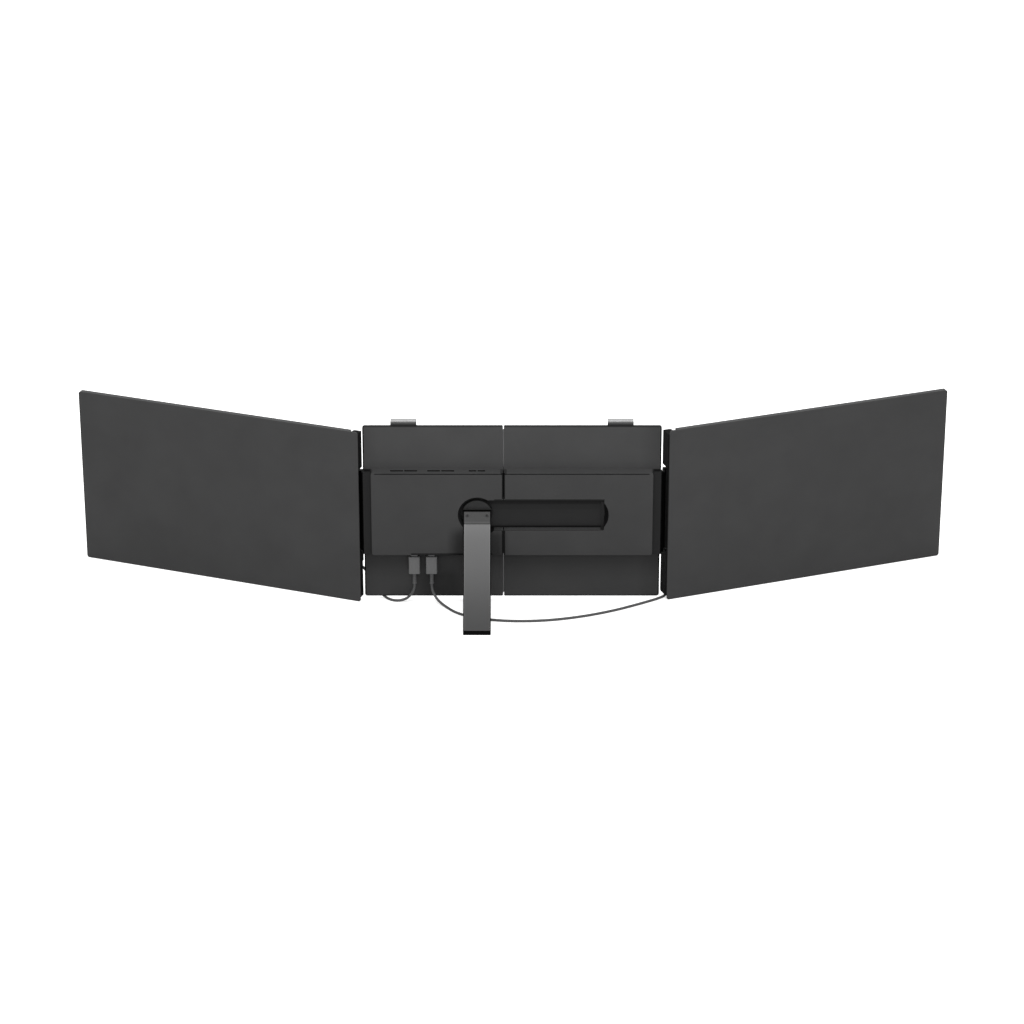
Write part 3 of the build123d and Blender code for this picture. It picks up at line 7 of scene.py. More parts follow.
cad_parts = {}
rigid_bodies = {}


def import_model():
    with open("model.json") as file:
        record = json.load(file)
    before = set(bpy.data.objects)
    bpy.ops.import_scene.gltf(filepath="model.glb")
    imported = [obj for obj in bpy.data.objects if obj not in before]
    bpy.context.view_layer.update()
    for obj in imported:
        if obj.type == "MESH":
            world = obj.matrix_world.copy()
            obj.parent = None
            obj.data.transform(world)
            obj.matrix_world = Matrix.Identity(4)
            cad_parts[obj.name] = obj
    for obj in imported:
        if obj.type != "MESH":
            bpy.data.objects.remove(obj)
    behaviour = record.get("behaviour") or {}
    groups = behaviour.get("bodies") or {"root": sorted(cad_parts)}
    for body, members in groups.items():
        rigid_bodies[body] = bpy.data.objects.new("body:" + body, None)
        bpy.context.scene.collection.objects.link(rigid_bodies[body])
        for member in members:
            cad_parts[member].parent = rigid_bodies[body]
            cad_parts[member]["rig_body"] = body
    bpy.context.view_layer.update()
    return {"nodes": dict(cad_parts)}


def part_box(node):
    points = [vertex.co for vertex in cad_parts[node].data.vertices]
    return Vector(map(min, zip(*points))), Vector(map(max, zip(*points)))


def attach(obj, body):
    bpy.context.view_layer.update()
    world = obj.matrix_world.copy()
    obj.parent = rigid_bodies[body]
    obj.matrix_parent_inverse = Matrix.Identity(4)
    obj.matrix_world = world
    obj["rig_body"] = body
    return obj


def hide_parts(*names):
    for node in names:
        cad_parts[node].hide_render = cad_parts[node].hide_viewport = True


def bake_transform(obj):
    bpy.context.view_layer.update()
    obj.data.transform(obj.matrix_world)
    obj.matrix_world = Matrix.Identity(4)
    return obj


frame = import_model()
nodes = frame["nodes"]
scene = bpy.context.scene
scene.view_settings.view_transform = "Standard"

# ---- Camera ----
# A long lens behind the plate, about 24 degrees above the table, level with no tilt.
# The plate's middle and its front face are the place that everything is measured from.
plate_left_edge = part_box("left_front_plate")[0][0]
plate_right_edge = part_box("right_front_plate")[1][0]
plate_middle = Vector(((plate_left_edge + plate_right_edge) / 2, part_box("left_front_plate")[1][1], 0))
camera_data = bpy.data.cameras.new("studio_camera")
camera_data.lens = 124.35
camera_data.sensor_width = 36
camera_data.clip_end = 30
camera_data.dof.use_dof = False
camera = bpy.data.objects.new("studio_camera", camera_data)
camera.location = plate_middle + Vector((0, -3.4476, 1.6621))
look_at = plate_middle + Vector((0, -0.0102, 0.10646))
camera.rotation_euler = (look_at - camera.location).to_track_quat("-Z", "Y").to_euler()
scene.collection.objects.link(camera)
scene.camera = camera


# ---- Leads ----
# Two thin leads in a grey jacket carry picture and power from the plugs under the band to the screens.
# One drops beside the plate and goes up into the left spine, the other lies in a wide arc on the table
# and goes up into the right spine.
def finish_nodes(material):
    """The material's tree, its links and its one shader."""
    material.use_nodes = True
    tree = material.node_tree
    return tree, tree.links, tree.nodes["Principled BSDF"]


def fine_noise(tree, scale, detail=2.0):
    """A noise on the piece's own coordinates, with scale in features per metre."""
    coordinates = tree.nodes.new("ShaderNodeTexCoord")
    noise = tree.nodes.new("ShaderNodeTexNoise")
    noise.inputs["Scale"].default_value = scale
    noise.inputs["Detail"].default_value = detail
    tree.links.new(coordinates.outputs["Object"], noise.inputs["Vector"])
    return noise.outputs["Fac"]


def between(tree, value, low, high):
    """A value from 0 to 1 spread between two numbers."""
    spread = tree.nodes.new("ShaderNodeMapRange")
    spread.inputs["From Min"].default_value = 0.3
    spread.inputs["From Max"].default_value = 0.7
    spread.inputs["To Min"].default_value = low
    spread.inputs["To Max"].default_value = high
    tree.links.new(value, spread.inputs["Value"])
    return spread.outputs["Result"]


def two_tone(tree, value, colour, share):
    """A colour that drifts darker and lighter by a share of itself."""
    ramp = tree.nodes.new("ShaderNodeValToRGB")
    ramp.color_ramp.elements[0].position = 0.3
    ramp.color_ramp.elements[0].color = (*(c * (1 - share) for c in colour), 1)
    ramp.color_ramp.elements[1].position = 0.7
    ramp.color_ramp.elements[1].color = (*(c * (1 + share) for c in colour), 1)
    tree.links.new(value, ramp.inputs["Fac"])
    return ramp.outputs["Color"]


def relief(tree, value, depth):
    """A bump of a depth in metres."""
    bump = tree.nodes.new("ShaderNodeBump")
    bump.inputs["Strength"].default_value = 1.0
    bump.inputs["Distance"].default_value = depth
    tree.links.new(value, bump.inputs["Height"])
    return bump.outputs["Normal"]


def moulded(name, colour, roughness=0.55, specular=0.3, grain=1600.0, depth=0.00002, drift=0.05):
    """Moulded plastic or rubber: slow drift of tone, a fine spark-eroded grain, and uneven gloss."""
    material = bpy.data.materials.new(name)
    tree, links, shader = finish_nodes(material)
    slow = fine_noise(tree, 24.0)
    fine = fine_noise(tree, grain, 3.0)
    links.new(two_tone(tree, slow, colour, drift), shader.inputs["Base Color"])
    links.new(between(tree, fine, roughness - 0.06, roughness + 0.06), shader.inputs["Roughness"])
    links.new(relief(tree, fine, depth), shader.inputs["Normal"])
    shader.inputs["Specular IOR Level"].default_value = specular
    return material


def place_along(tree):
    """Where a point of the piece lies along X, Y and Z, in metres."""
    coordinates = tree.nodes.new("ShaderNodeTexCoord")
    parts = tree.nodes.new("ShaderNodeSeparateXYZ")
    tree.links.new(coordinates.outputs["Object"], parts.inputs["Vector"])
    return parts.outputs


def multiplied(tree, shader):
    """A multiply set between the finish's colour and its shader."""
    toned = tree.nodes.new("ShaderNodeMix")
    toned.data_type = "RGBA"
    toned.blend_type = "MULTIPLY"
    tree.links.new(shader.inputs["Base Color"].links[0].from_socket, toned.inputs["A"])
    tree.links.new(toned.outputs["Result"], shader.inputs["Base Color"])
    return toned


def paint_light_and_shade_along(material, axis, *stops):
    """Paints light and shade into the colour along an axis, by places in metres from the plate's middle and
    shares of it.
    """
    tree, links, shader = finish_nodes(material)
    start = plate_middle["XYZ".index(axis)]
    places = [start + place for place, _ in stops]
    spread = tree.nodes.new("ShaderNodeMapRange")
    spread.inputs["From Min"].default_value = places[0]
    spread.inputs["From Max"].default_value = places[-1]
    ramp = tree.nodes.new("ShaderNodeValToRGB")
    marks = ramp.color_ramp.elements
    for place in places[1:-1]:
        marks.new((place - places[0]) / (places[-1] - places[0]))
    for mark, (_, share) in zip(marks, stops):
        mark.color = (share, share, share, 1)
    links.new(place_along(tree)[axis], spread.inputs["Value"])
    links.new(spread.outputs["Result"], ramp.inputs["Fac"])
    toned = multiplied(tree, shader)
    toned.inputs["Factor"].default_value = 1.0
    links.new(ramp.outputs["Color"], toned.inputs["B"])


def stepped(tree, value, low, high, first, last):
    """A value that goes from a first number to a last one between two places."""
    edge = tree.nodes.new("ShaderNodeMapRange")
    edge.inputs["From Min"].default_value = low
    edge.inputs["From Max"].default_value = high
    edge.inputs["To Min"].default_value = first
    edge.inputs["To Max"].default_value = last
    tree.links.new(value, edge.inputs["Value"])
    return edge.outputs["Result"]


def paint_light_and_shade_in_box(material, share, soft=0.0002, **ranges):
    """Paints light and shade in a box of ranges from the plate's middle: takes colour and gloss to a share
    of themselves there.
    """
    tree, links, shader = finish_nodes(material)
    parts = place_along(tree)
    inside = None
    for axis, limits in ranges.items():
        for limit, above in zip(limits, (1, 0)):
            place = plate_middle["XYZ".index(axis)] + limit
            edge = stepped(tree, parts[axis], place - soft / 2, place + soft / 2, 1 - above, above)
            if inside is None:
                inside = edge
                continue
            both = tree.nodes.new("ShaderNodeMath")
            both.operation = "MULTIPLY"
            links.new(inside, both.inputs[0])
            links.new(edge, both.inputs[1])
            inside = both.outputs["Value"]
    toned = multiplied(tree, shader)
    toned.inputs["B"].default_value = (share, share, share, 1)
    links.new(inside, toned.inputs["Factor"])
    # Metal of a dark colour gives back almost nothing, so the gloss goes down with the colour.
    dimmed = min(share, 1.0)
    bare = tree.nodes.new("ShaderNodeMath")
    bare.operation = "MULTIPLY_ADD"
    level = shader.inputs["Metallic"]
    if level.is_linked:
        links.new(level.links[0].from_socket, bare.inputs[0])
    else:
        bare.inputs[0].default_value = level.default_value
    links.new(stepped(tree, inside, 0, 1, 1.0, dimmed), bare.inputs[1])
    links.new(stepped(tree, inside, 0, 1, 0.0, 1.0 - dimmed), bare.inputs[2])
    links.new(bare.outputs["Value"], level)


def put(piece, body):
    """Shows a finished piece on its body."""
    scene.collection.objects.link(piece)
    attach(piece, body)


def turned(name, profile, place, steps):
    """A closed upright turned piece from (radius, height) pairs, bottom to top, set on a place."""
    mesh = bpy.data.meshes.new(name)
    work = bmesh.new()
    rings = []
    for radius, height in profile:
        ring = [
            work.verts.new((radius * math.cos(t), radius * math.sin(t), height))
            for t in (2 * math.pi * k / steps for k in range(steps))
        ]
        rings.append(ring)
    for low, high in zip(rings, rings[1:]):
        for k in range(steps):
            after = (k + 1) % steps
            work.faces.new((low[k], low[after], high[after], high[k]))
    work.faces.new(list(reversed(rings[0])))
    work.faces.new(rings[-1])
    work.transform(Matrix.Translation(place))
    bmesh.ops.recalc_face_normals(work, faces=work.faces)
    smooth_by_angle(work, 30)
    work.to_mesh(mesh)
    work.free()
    return bpy.data.objects.new(name, mesh)


def smooth_by_angle(work, degrees):
    """Shades faces smooth, and keeps the edges sharp that turn by more than an angle."""
    for face in work.faces:
        face.smooth = True
    for edge in work.edges:
        edge.smooth = edge.is_manifold and edge.calc_face_angle(0) < math.radians(degrees)


LEAD_DIAMETER = 0.0028
left_route = (
    (-0.1049, -0.00925, 0.0216),
    (-0.1049, -0.00925, 0.0162),
    (-0.1082, -0.0094, 0.0092),
    (-0.114, -0.0098, 0.0034),
    (-0.1226, -0.0104, 0.0015),
    (-0.1312, -0.008, 0.0015),
    (-0.1384, 0.0012, 0.0016),
    (-0.1446, 0.0046, 0.0076),
    (-0.1522, 0.004, 0.0222),
    (-0.159, 0.0032, 0.034),
    (-0.165060, 0.002626, 0.0396),
    (-0.165060, 0.002626, 0.045),
)
right_route = (
    (-0.0864, -0.00925, 0.0216),
    (-0.0864, -0.00925, 0.0158),
    (-0.084, -0.0112, 0.0094),
    (-0.0794, -0.0152, 0.0038),
    (-0.0716, -0.0246, 0.0015),
    (-0.059, -0.0416, 0.0015),
    (-0.036, -0.0544, 0.0015),
    (-0.004, -0.0606, 0.0015),
    (0.034, -0.0596, 0.0015),
    (0.072, -0.0504, 0.0015),
    (0.108, -0.0354, 0.0015),
    (0.136, -0.0188, 0.0015),
    (0.153, -0.008, 0.0015),
    (0.1606, -0.0022, 0.0015),
    (0.1667, 0.00385, 0.0015),
    (0.1667, 0.00385, 0.0098),
)
jacket = moulded(
    "lead_jacket", (0.070, 0.070, 0.071), roughness=0.45, specular=0.2, grain=900.0, depth=0.00001
)


def lead_curve(name, route):
    """The lead's line, through the part's own route points."""
    curve = bpy.data.curves.new(name, "CURVE")
    curve.dimensions = "3D"
    spline = curve.splines.new("NURBS")
    spline.points.add(len(route) - 1)
    for point, place in zip(spline.points, route):
        point.co = (*(Vector(place) + plate_middle), 1)
    spline.order_u = 3
    spline.use_endpoint_u = True
    spline.resolution_u = 12
    return bpy.data.objects.new(name, curve)


def lead_mesh(name, route):
    """The lead as a tube of its real thickness, and the points that it follows."""
    line = lead_curve(name, route)
    scene.collection.objects.link(line)
    path = [v.co.copy() for v in bpy.data.meshes.new_from_object(line).vertices]
    line.data.bevel_depth = LEAD_DIAMETER / 2
    line.data.bevel_resolution = 5
    line.data.use_fill_caps = True
    bpy.context.view_layer.update()
    tube = bpy.data.meshes.new_from_object(line)
    tube.name = name
    bpy.data.objects.remove(line)
    for face in tube.polygons:
        face.use_smooth = True
    tube.materials.clear()
    tube.materials.append(jacket)
    return bpy.data.objects.new(name, tube), path


# ---- Plugs and strain reliefs ----
# Each lead ends in a small plug: a moulded grey grip over a drawn metal tip, and a soft ribbed sleeve
# under it that keeps the lead from kinking.
plug_grey = moulded("plug_grip", (0.108, 0.108, 0.109), roughness=0.5, specular=0.25)
sleeve_grey = moulded("sleeve_rubber", (0.085, 0.085, 0.086), roughness=0.6, specular=0.15)


def merged(node):
    """The node's surface with its loose triangles joined."""
    work = bmesh.new()
    work.from_mesh(nodes[node].data)
    bmesh.ops.remove_doubles(work, verts=work.verts, dist=0.000002)
    return work


def skin_of(node, material):
    """The node's own surface with its triangles joined, so that its round edges shade smoothly."""
    work = merged(node)
    smooth_by_angle(work, 32)
    rough = bpy.data.meshes.new("rough")
    work.to_mesh(rough)
    work.free()
    mesh = bpy.data.meshes.new(f"{node}_skin")
    mesh.from_pydata(
        [v.co.copy() for v in rough.vertices],
        [],
        [tuple(p.vertices) for p in rough.polygons],
    )
    mesh.shade_smooth()
    sharp = {tuple(sorted(e.vertices)) for e in rough.edges if e.use_edge_sharp}
    for edge in mesh.edges:
        edge.use_edge_sharp = tuple(sorted(edge.vertices)) in sharp
    bpy.data.meshes.remove(rough)
    mesh.materials.append(material)
    piece = bpy.data.objects.new(f"{node}_skin", mesh)
    put(piece, nodes[node]["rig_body"])
    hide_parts(node)
    return piece


def metal(name, colour, roughness=0.35, grain=700.0, stretch=(1, 1, 1), depth=0.000004, drift=0.06):
    """Bare or lacquered metal with fine marks, drawn out along the direction that it was worked in."""
    material = bpy.data.materials.new(name)
    tree, links, shader = finish_nodes(material)
    coordinates = tree.nodes.new("ShaderNodeTexCoord")
    direction = tree.nodes.new("ShaderNodeMapping")
    direction.inputs["Scale"].default_value = stretch
    marks = tree.nodes.new("ShaderNodeTexNoise")
    marks.inputs["Scale"].default_value = grain
    marks.inputs["Detail"].default_value = 4.0
    links.new(coordinates.outputs["Object"], direction.inputs["Vector"])
    links.new(direction.outputs["Vector"], marks.inputs["Vector"])
    fac = marks.outputs["Fac"]
    links.new(two_tone(tree, fac, colour, drift), shader.inputs["Base Color"])
    links.new(between(tree, fac, roughness - 0.05, roughness + 0.07), shader.inputs["Roughness"])
    links.new(relief(tree, fac, depth), shader.inputs["Normal"])
    shader.inputs["Metallic"].default_value = 1.0
    return material


tip_metal = metal("plug_tip_nickel", (0.11, 0.11, 0.112), roughness=0.35)


def sleeve(side_name):
    """The ribbed sleeve as one turned piece: six grooves, and a bead at the lead's end."""
    low, high = (Vector(corner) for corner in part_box(f"{side_name}_strain_relief"))
    centre = Vector(((low.x + high.x) / 2, (low.y + high.y) / 2, low.z))
    bead_radius = (high.x - low.x) / 2
    neck = 0.00155
    body_radius = 0.00205
    bead_length = 0.0018
    groove_count = 6
    groove_radius = neck + 0.0002
    profile = [(neck, 0.0), (bead_radius * 0.93, 0.0001), (bead_radius, 0.0006)]
    profile.append((bead_radius, bead_length - 0.0004))
    pitch = (high.z - low.z - bead_length) / groove_count
    for rib in range(groove_count):
        foot = bead_length + rib * pitch
        profile += [(groove_radius, foot), (groove_radius, foot + 0.25 * pitch)]
        profile += [(body_radius, foot + 0.33 * pitch), (body_radius, foot + 0.92 * pitch)]
    profile.append((body_radius, high.z - low.z))
    piece = turned(f"{side_name}_ribbed_sleeve", profile, centre, steps=32)
    piece.data.materials.append(sleeve_grey)
    put(piece, "left_half")
    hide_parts(f"{side_name}_strain_relief")
    return piece


def lay_lead(side_name, route):
    """A lead with its plug, from the screen's inlet back to the band."""
    node = f"{side_name}_lead"
    tube, path = lead_mesh(f"{node}_jacket", route)
    scene.collection.objects.link(tube)
    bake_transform(tube)
    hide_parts(node)
    grip = skin_of(f"{side_name}_plug", plug_grey)
    tip = skin_of(f"{side_name}_plug_tip", tip_metal)
    sleeve(side_name)


lay_lead("left", left_route)
lay_lead("right", right_route)


# ---- Plate ----
# Two thin hollow halves, each a moulded rear shell and a flat front skin, in grey with a fine matt grain.
# A thin metal bridge between them shows as a light line where they part, widened by a painted highlight on
# the plate each side of it.
plate_grey = moulded("plate_grain_painted_light", (0.0515, 0.0515, 0.0519), roughness=0.65, specular=0.1)
# Painted shade: the plate's grey is darker low down under the band, and painted light makes a lighter strip
# just above the band's shelf.
plate_painted_shade_up = ((0.0, 0.76), (0.026, 0.74), (0.034, 0.68), (0.045, 0.52), (0.07, 0.5), (0.14, 1.0))
plate_painted_light_at_shelf = ((0.1535, 1.34), (0.1562, 1.22), (0.160, 1.09), (0.168, 1.0))
paint_light_and_shade_along(plate_grey, "Z", *plate_painted_shade_up, *plate_painted_light_at_shelf)
# Painted shade: darker towards both side edges, most on the right.
paint_light_and_shade_along(plate_grey, "X", (-0.1586, 0.86), (-0.142, 1.0), (0.134, 1.0), (0.1586, 0.74))
# Painted shade: near-black lines down the plate's side edges, and darker lines along its top and bottom
# edges.
plate_painted_dark_sides = ((-0.16, -0.1573), (0.1573, 0.16))
plate_painted_shade_top = (0.2018, 0.2040)
plate_painted_shade_bottom = (0.0030, 0.0052)
# Painted highlight: a lighter strip on the plate each side of the parting line.
plate_painted_highlight_at_parting = (-0.0101, -0.0081)
for edge in plate_painted_dark_sides:
    paint_light_and_shade_in_box(plate_grey, 0.02, X=edge)
paint_light_and_shade_in_box(plate_grey, 0.42, Z=plate_painted_shade_top)
paint_light_and_shade_in_box(plate_grey, 1.1, X=plate_painted_highlight_at_parting)
paint_light_and_shade_in_box(plate_grey, 0.2, Z=plate_painted_shade_bottom)
# Painted shadow: a soft darker patch low on the plate by the plugs and leads.
paint_light_and_shade_in_box(plate_grey, 0.62, soft=0.016, X=(-0.101, -0.056), Z=(-0.02, 0.036))
lid_side_grey = moulded("lid_side_grain", (0.010, 0.010, 0.0102), roughness=0.65, specular=0.08)
bridge_metal = metal("bridge_sheet", (0.15, 0.15, 0.152), roughness=0.5, stretch=(1, 1, 0.05))
for side_name in ("left", "right"):
    skin_of(f"{side_name}_rear_shell", plate_grey)
    skin_of(f"{side_name}_front_plate", lid_side_grey)
skin_of("bridge_plate", bridge_metal)


# ---- Lid pads ----
# Strips of soft rubber let into the plate's front, with fine cross ribs that grip a laptop's lid.
pad_rubber = moulded("pad_rubber", (0.014, 0.014, 0.015), roughness=0.85, specular=0.12, grain=2600.0)


def copying_tree(name, **kinds):
    """A tree with named inputs that sets copies on points, makes them real and gives them a finish."""
    tree = bpy.data.node_groups.new(name, "GeometryNodeTree")
    for socket, kind in kinds.items():
        tree.interface.new_socket(socket, in_out="INPUT", socket_type=f"NodeSocket{kind}")
    tree.interface.new_socket("Finish", in_out="INPUT", socket_type="NodeSocketMaterial")
    tree.interface.new_socket("Geometry", in_out="OUTPUT", socket_type="NodeSocketGeometry")
    given = tree.nodes.new("NodeGroupInput")
    copies = tree.nodes.new("GeometryNodeInstanceOnPoints")
    real = tree.nodes.new("GeometryNodeRealizeInstances")
    paint = tree.nodes.new("GeometryNodeSetMaterial")
    result = tree.nodes.new("NodeGroupOutput")
    tree.links.new(copies.outputs["Instances"], real.inputs["Geometry"])
    tree.links.new(real.outputs["Geometry"], paint.inputs["Geometry"])
    tree.links.new(given.outputs["Finish"], paint.inputs["Material"])
    tree.links.new(paint.outputs["Geometry"], result.inputs["Geometry"])
    return tree, given, copies


def rib_tree():
    """Cross ribs up a strip: a line of points with a flat bar on each."""
    tree, given, copies = copying_tree("pad_ribs", Foot="Vector", Count="Int", Pitch="Vector", Bar="Vector")
    line = tree.nodes.new("GeometryNodeMeshLine")
    bar = tree.nodes.new("GeometryNodeMeshCube")
    tree.links.new(given.outputs["Count"], line.inputs["Count"])
    tree.links.new(given.outputs["Foot"], line.inputs["Start Location"])
    tree.links.new(given.outputs["Pitch"], line.inputs["Offset"])
    tree.links.new(given.outputs["Bar"], bar.inputs["Size"])
    tree.links.new(line.outputs["Mesh"], copies.inputs["Points"])
    tree.links.new(bar.outputs["Mesh"], copies.inputs["Instance"])
    return tree


def grown(name, tree, start_mesh, **inputs):
    """Runs a geometry tree with named inputs and gives the result as a plain mesh object."""
    holder = bpy.data.objects.new(name, start_mesh)
    scene.collection.objects.link(holder)
    modifier = holder.modifiers.new("grow", "NODES")
    modifier.node_group = tree
    identifiers = {
        item.name: item.identifier for item in tree.interface.items_tree if item.in_out == "INPUT"
    }
    for key, value in inputs.items():
        modifier[identifiers[key.replace("_", " ")]] = value
    bpy.context.view_layer.update()
    seen = holder.evaluated_get(bpy.context.evaluated_depsgraph_get())
    mesh = bpy.data.meshes.new_from_object(seen)
    bpy.data.objects.remove(holder)
    mesh.name = name
    return bpy.data.objects.new(name, mesh)


ribs = rib_tree()
strip_width = 0.009
rib_pitch = 0.0025
rib_margin = 0.004          # of the strip's height that is left free of ribs
rib_start = 0.003
rib_size = (strip_width * 0.84, 0.00018, 0.0011)
for side_name, body in (("left", "left_half"), ("right", "right_half")):
    skin_of(f"{side_name}_lid_pads", pad_rubber)
    low, high = (Vector(corner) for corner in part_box(f"{side_name}_lid_pads"))
    rib_count = int((high.z - low.z - rib_margin) / rib_pitch)
    for count, edge in enumerate((low.x + strip_width / 2, high.x - strip_width / 2)):
        rib = grown(
            f"{side_name}_pad_ribs_{count}",
            ribs,
            bpy.data.meshes.new("seed"),
            Foot=(edge, high.y, low.z + rib_start),
            Count=rib_count,
            Pitch=(0, 0, rib_pitch),
            Bar=rib_size,
            Finish=pad_rubber,
        )
        put(rib, body)


# ---- Band ----
# The raised band behind the plate: two moulded covers that meet at the seam, with vents in the shelf on
# top, openings for the plugs underneath, and the stand's slot with its finger scoop.
band_grey = moulded("band_grain_painted_shade", (0.0432, 0.0432, 0.0435), roughness=0.62, specular=0.1)
# Painted shade: the band's grey darkens towards the bottom.
paint_light_and_shade_along(band_grey, "Z", (0.05, 0.9), (0.1, 0.96), (0.15, 1.0), (0.154, 1.0))
rear_face = (-0.0156, -0.0151)
behind_rear_face = (-0.01515, -0.004)
dish_painted_shade = {"X": (-0.0585, -0.019), "Y": behind_rear_face, "Z": (0.078, 0.128)}
slot_upper_edge_painted_shade = {"X": (-0.019, 0.0985), "Y": rear_face, "Z": (0.1222, 0.1236)}
slot_lower_edge_painted_shade = {"X": (-0.019, 0.0975), "Y": rear_face, "Z": (0.0871, 0.0879)}
scoop_walls_painted_shade = {"X": (0.0944, 0.1034), "Y": behind_rear_face, "Z": (0.0875, 0.1225)}
scoop_depth_painted_shade = {"X": (0.0982, 0.1034), "Y": (-0.01515, -0.0092), "Z": (0.0905, 0.1225)}
scoop_upper_wall_painted_shade = {"X": (0.0944, 0.1034), "Y": behind_rear_face, "Z": (0.118, 0.130)}
seam_below_slot_painted_shade = {"X": (-0.0125, -0.0057), "Y": (-0.0151, -0.004), "Z": (0.0577, 0.0865)}
seam_above_slot_painted_shade = {"X": (-0.0125, -0.0057), "Y": (-0.0151, -0.004), "Z": (0.1235, 0.1535)}
groove_painted_shade = {"X": (-0.148, 0.148), "Y": (-0.0151, -0.0139), "Z": (0.1519, 0.1533)}
leg_painted_shadow = {"X": (-0.064, -0.0090), "Z": (0.045, 0.0865)}
plugs_painted_shade = {"X": (-0.108, -0.021), "Z": (0.0570, 0.0602)}
vents_painted_shade = {"X": (-0.147, 0.147), "Y": (-0.0136, -0.0033), "Z": (0.126, 0.1534)}
# Painted shade in the band's recesses: darker in the dish, along the slot's edges, in the finger scoop, the
# seam and the groove under the shelf, and near black in the vents.
paint_light_and_shade_in_box(band_grey, 0.28, **dish_painted_shade)
paint_light_and_shade_in_box(band_grey, 0.46, **slot_upper_edge_painted_shade)
paint_light_and_shade_in_box(band_grey, 0.42, **slot_lower_edge_painted_shade)
paint_light_and_shade_in_box(band_grey, 0.5, **scoop_walls_painted_shade)
paint_light_and_shade_in_box(band_grey, 0.4, **scoop_depth_painted_shade)
paint_light_and_shade_in_box(band_grey, 0.6, **scoop_upper_wall_painted_shade)
for seam in (seam_below_slot_painted_shade, seam_above_slot_painted_shade):
    paint_light_and_shade_in_box(band_grey, 0.32, **seam)
paint_light_and_shade_in_box(band_grey, 0.3, **groove_painted_shade)
# Painted shadow of the stand's leg at rest, on the band round it; it stays put when the stand turns.
paint_light_and_shade_in_box(band_grey, 0.55, soft=0.012, **leg_painted_shadow)
# Painted shade along the band's lower edge over the plugs.
paint_light_and_shade_in_box(band_grey, 0.38, **plugs_painted_shade)
paint_light_and_shade_in_box(band_grey, 0.02, **vents_painted_shade)
well_grey = moulded("well_grain_painted_shade", (0.0205, 0.0205, 0.0207), roughness=0.62, specular=0.08)
# Painted shade on the slot floor: a dark line at its foot, and darker under the slot's top edge.
well_painted_shade_foot = ((0.0879, 0.25), (0.0893, 0.3), (0.0901, 1.0), (0.108, 1.0))
well_painted_shade_top = ((0.1095, 0.88), (0.114, 0.85), (0.1155, 0.5), (0.119, 0.35), (0.1223, 0.35))
paint_light_and_shade_along(well_grey, "Z", *well_painted_shade_foot, *well_painted_shade_top)
for side_name in ("left", "right"):
    skin_of(f"{side_name}_band_cover", band_grey)
skin_of("stand_tray", well_grey)
skin_of("slot_floor", well_grey)


# ---- Hinge arms and pins ----
# Black die-cast arms reach out of the band's ends. Each carries a long knuckle with a bronze bush at
# either end, and a ground steel pin runs through it into the screen's spine.
arm_black = moulded("arm_black", (0.0118, 0.0118, 0.012), roughness=0.55, specular=0.1, grain=1200.0)
bush_bronze = metal("bush_bronze", (0.50, 0.34, 0.17), roughness=0.35)
pin_steel = metal("pin_steel", (0.50, 0.50, 0.51), roughness=0.25, stretch=(1, 1, 0.1))
# Painted shade: the knuckle webs beside the plate are taken near black.
knuckle_webs_painted_shade = ((-0.164, -0.1585), (0.1585, 0.164))
for painted_dark_web in knuckle_webs_painted_shade:
    paint_light_and_shade_in_box(arm_black, 0.05, X=painted_dark_web)
for side_name in ("left", "right"):
    skin_of(f"{side_name}_hinge_arm", arm_black)
    skin_of(f"{side_name}_hinge_bushes", bush_bronze)
    skin_of(f"{side_name}_hinge_pin", pin_steel)


# ---- Spines and grommets ----
# The housing along each screen's inner edge, in satin black. It takes the pin in two towers, and the
# lead through a rubber boot or ring.
spine_black = moulded("spine_black", (0.0075, 0.0075, 0.0076), roughness=0.6, specular=0.01, grain=1500.0)
boot_rubber = moulded("boot_rubber", (0.008, 0.008, 0.008), roughness=0.75, specular=0.06)
for side_name in ("left", "right"):
    skin_of(f"{side_name}_spine", spine_black)
    skin_of(f"{side_name}_grommet", boot_rubber)


# ---- Screens ----
# Each screen is a moulded grey back cover and a thin black bezel round a matt glass front. The panel and
# its driver board lie between them, and a small button sits in the outer edge.
cover_grey = moulded("cover_grain", (0.0458, 0.0458, 0.0462), roughness=0.62, specular=0.1, grain=1500.0)
bezel_black = moulded("bezel_black", (0.009, 0.009, 0.0092), roughness=0.55, specular=0.15)
button_grey = moulded("button_grey", (0.060, 0.061, 0.063), roughness=0.45, specular=0.3)
panel_metal = metal("panel_sheet", (0.55, 0.55, 0.56), roughness=0.45, stretch=(0.05, 1, 1))


def glass_front():
    """Matt display glass: near black, with a fine anti-glare etch over a soft sheen."""
    material = bpy.data.materials.new("display_glass")
    tree, links, shader = finish_nodes(material)
    etch = fine_noise(tree, 6000.0, 1.0)
    slow = fine_noise(tree, 9.0)
    links.new(two_tone(tree, slow, (0.0085, 0.009, 0.0105), 0.12), shader.inputs["Base Color"])
    links.new(between(tree, etch, 0.24, 0.34), shader.inputs["Roughness"])
    links.new(relief(tree, etch, 0.000002), shader.inputs["Normal"])
    shader.inputs["Specular IOR Level"].default_value = 0.5
    return material


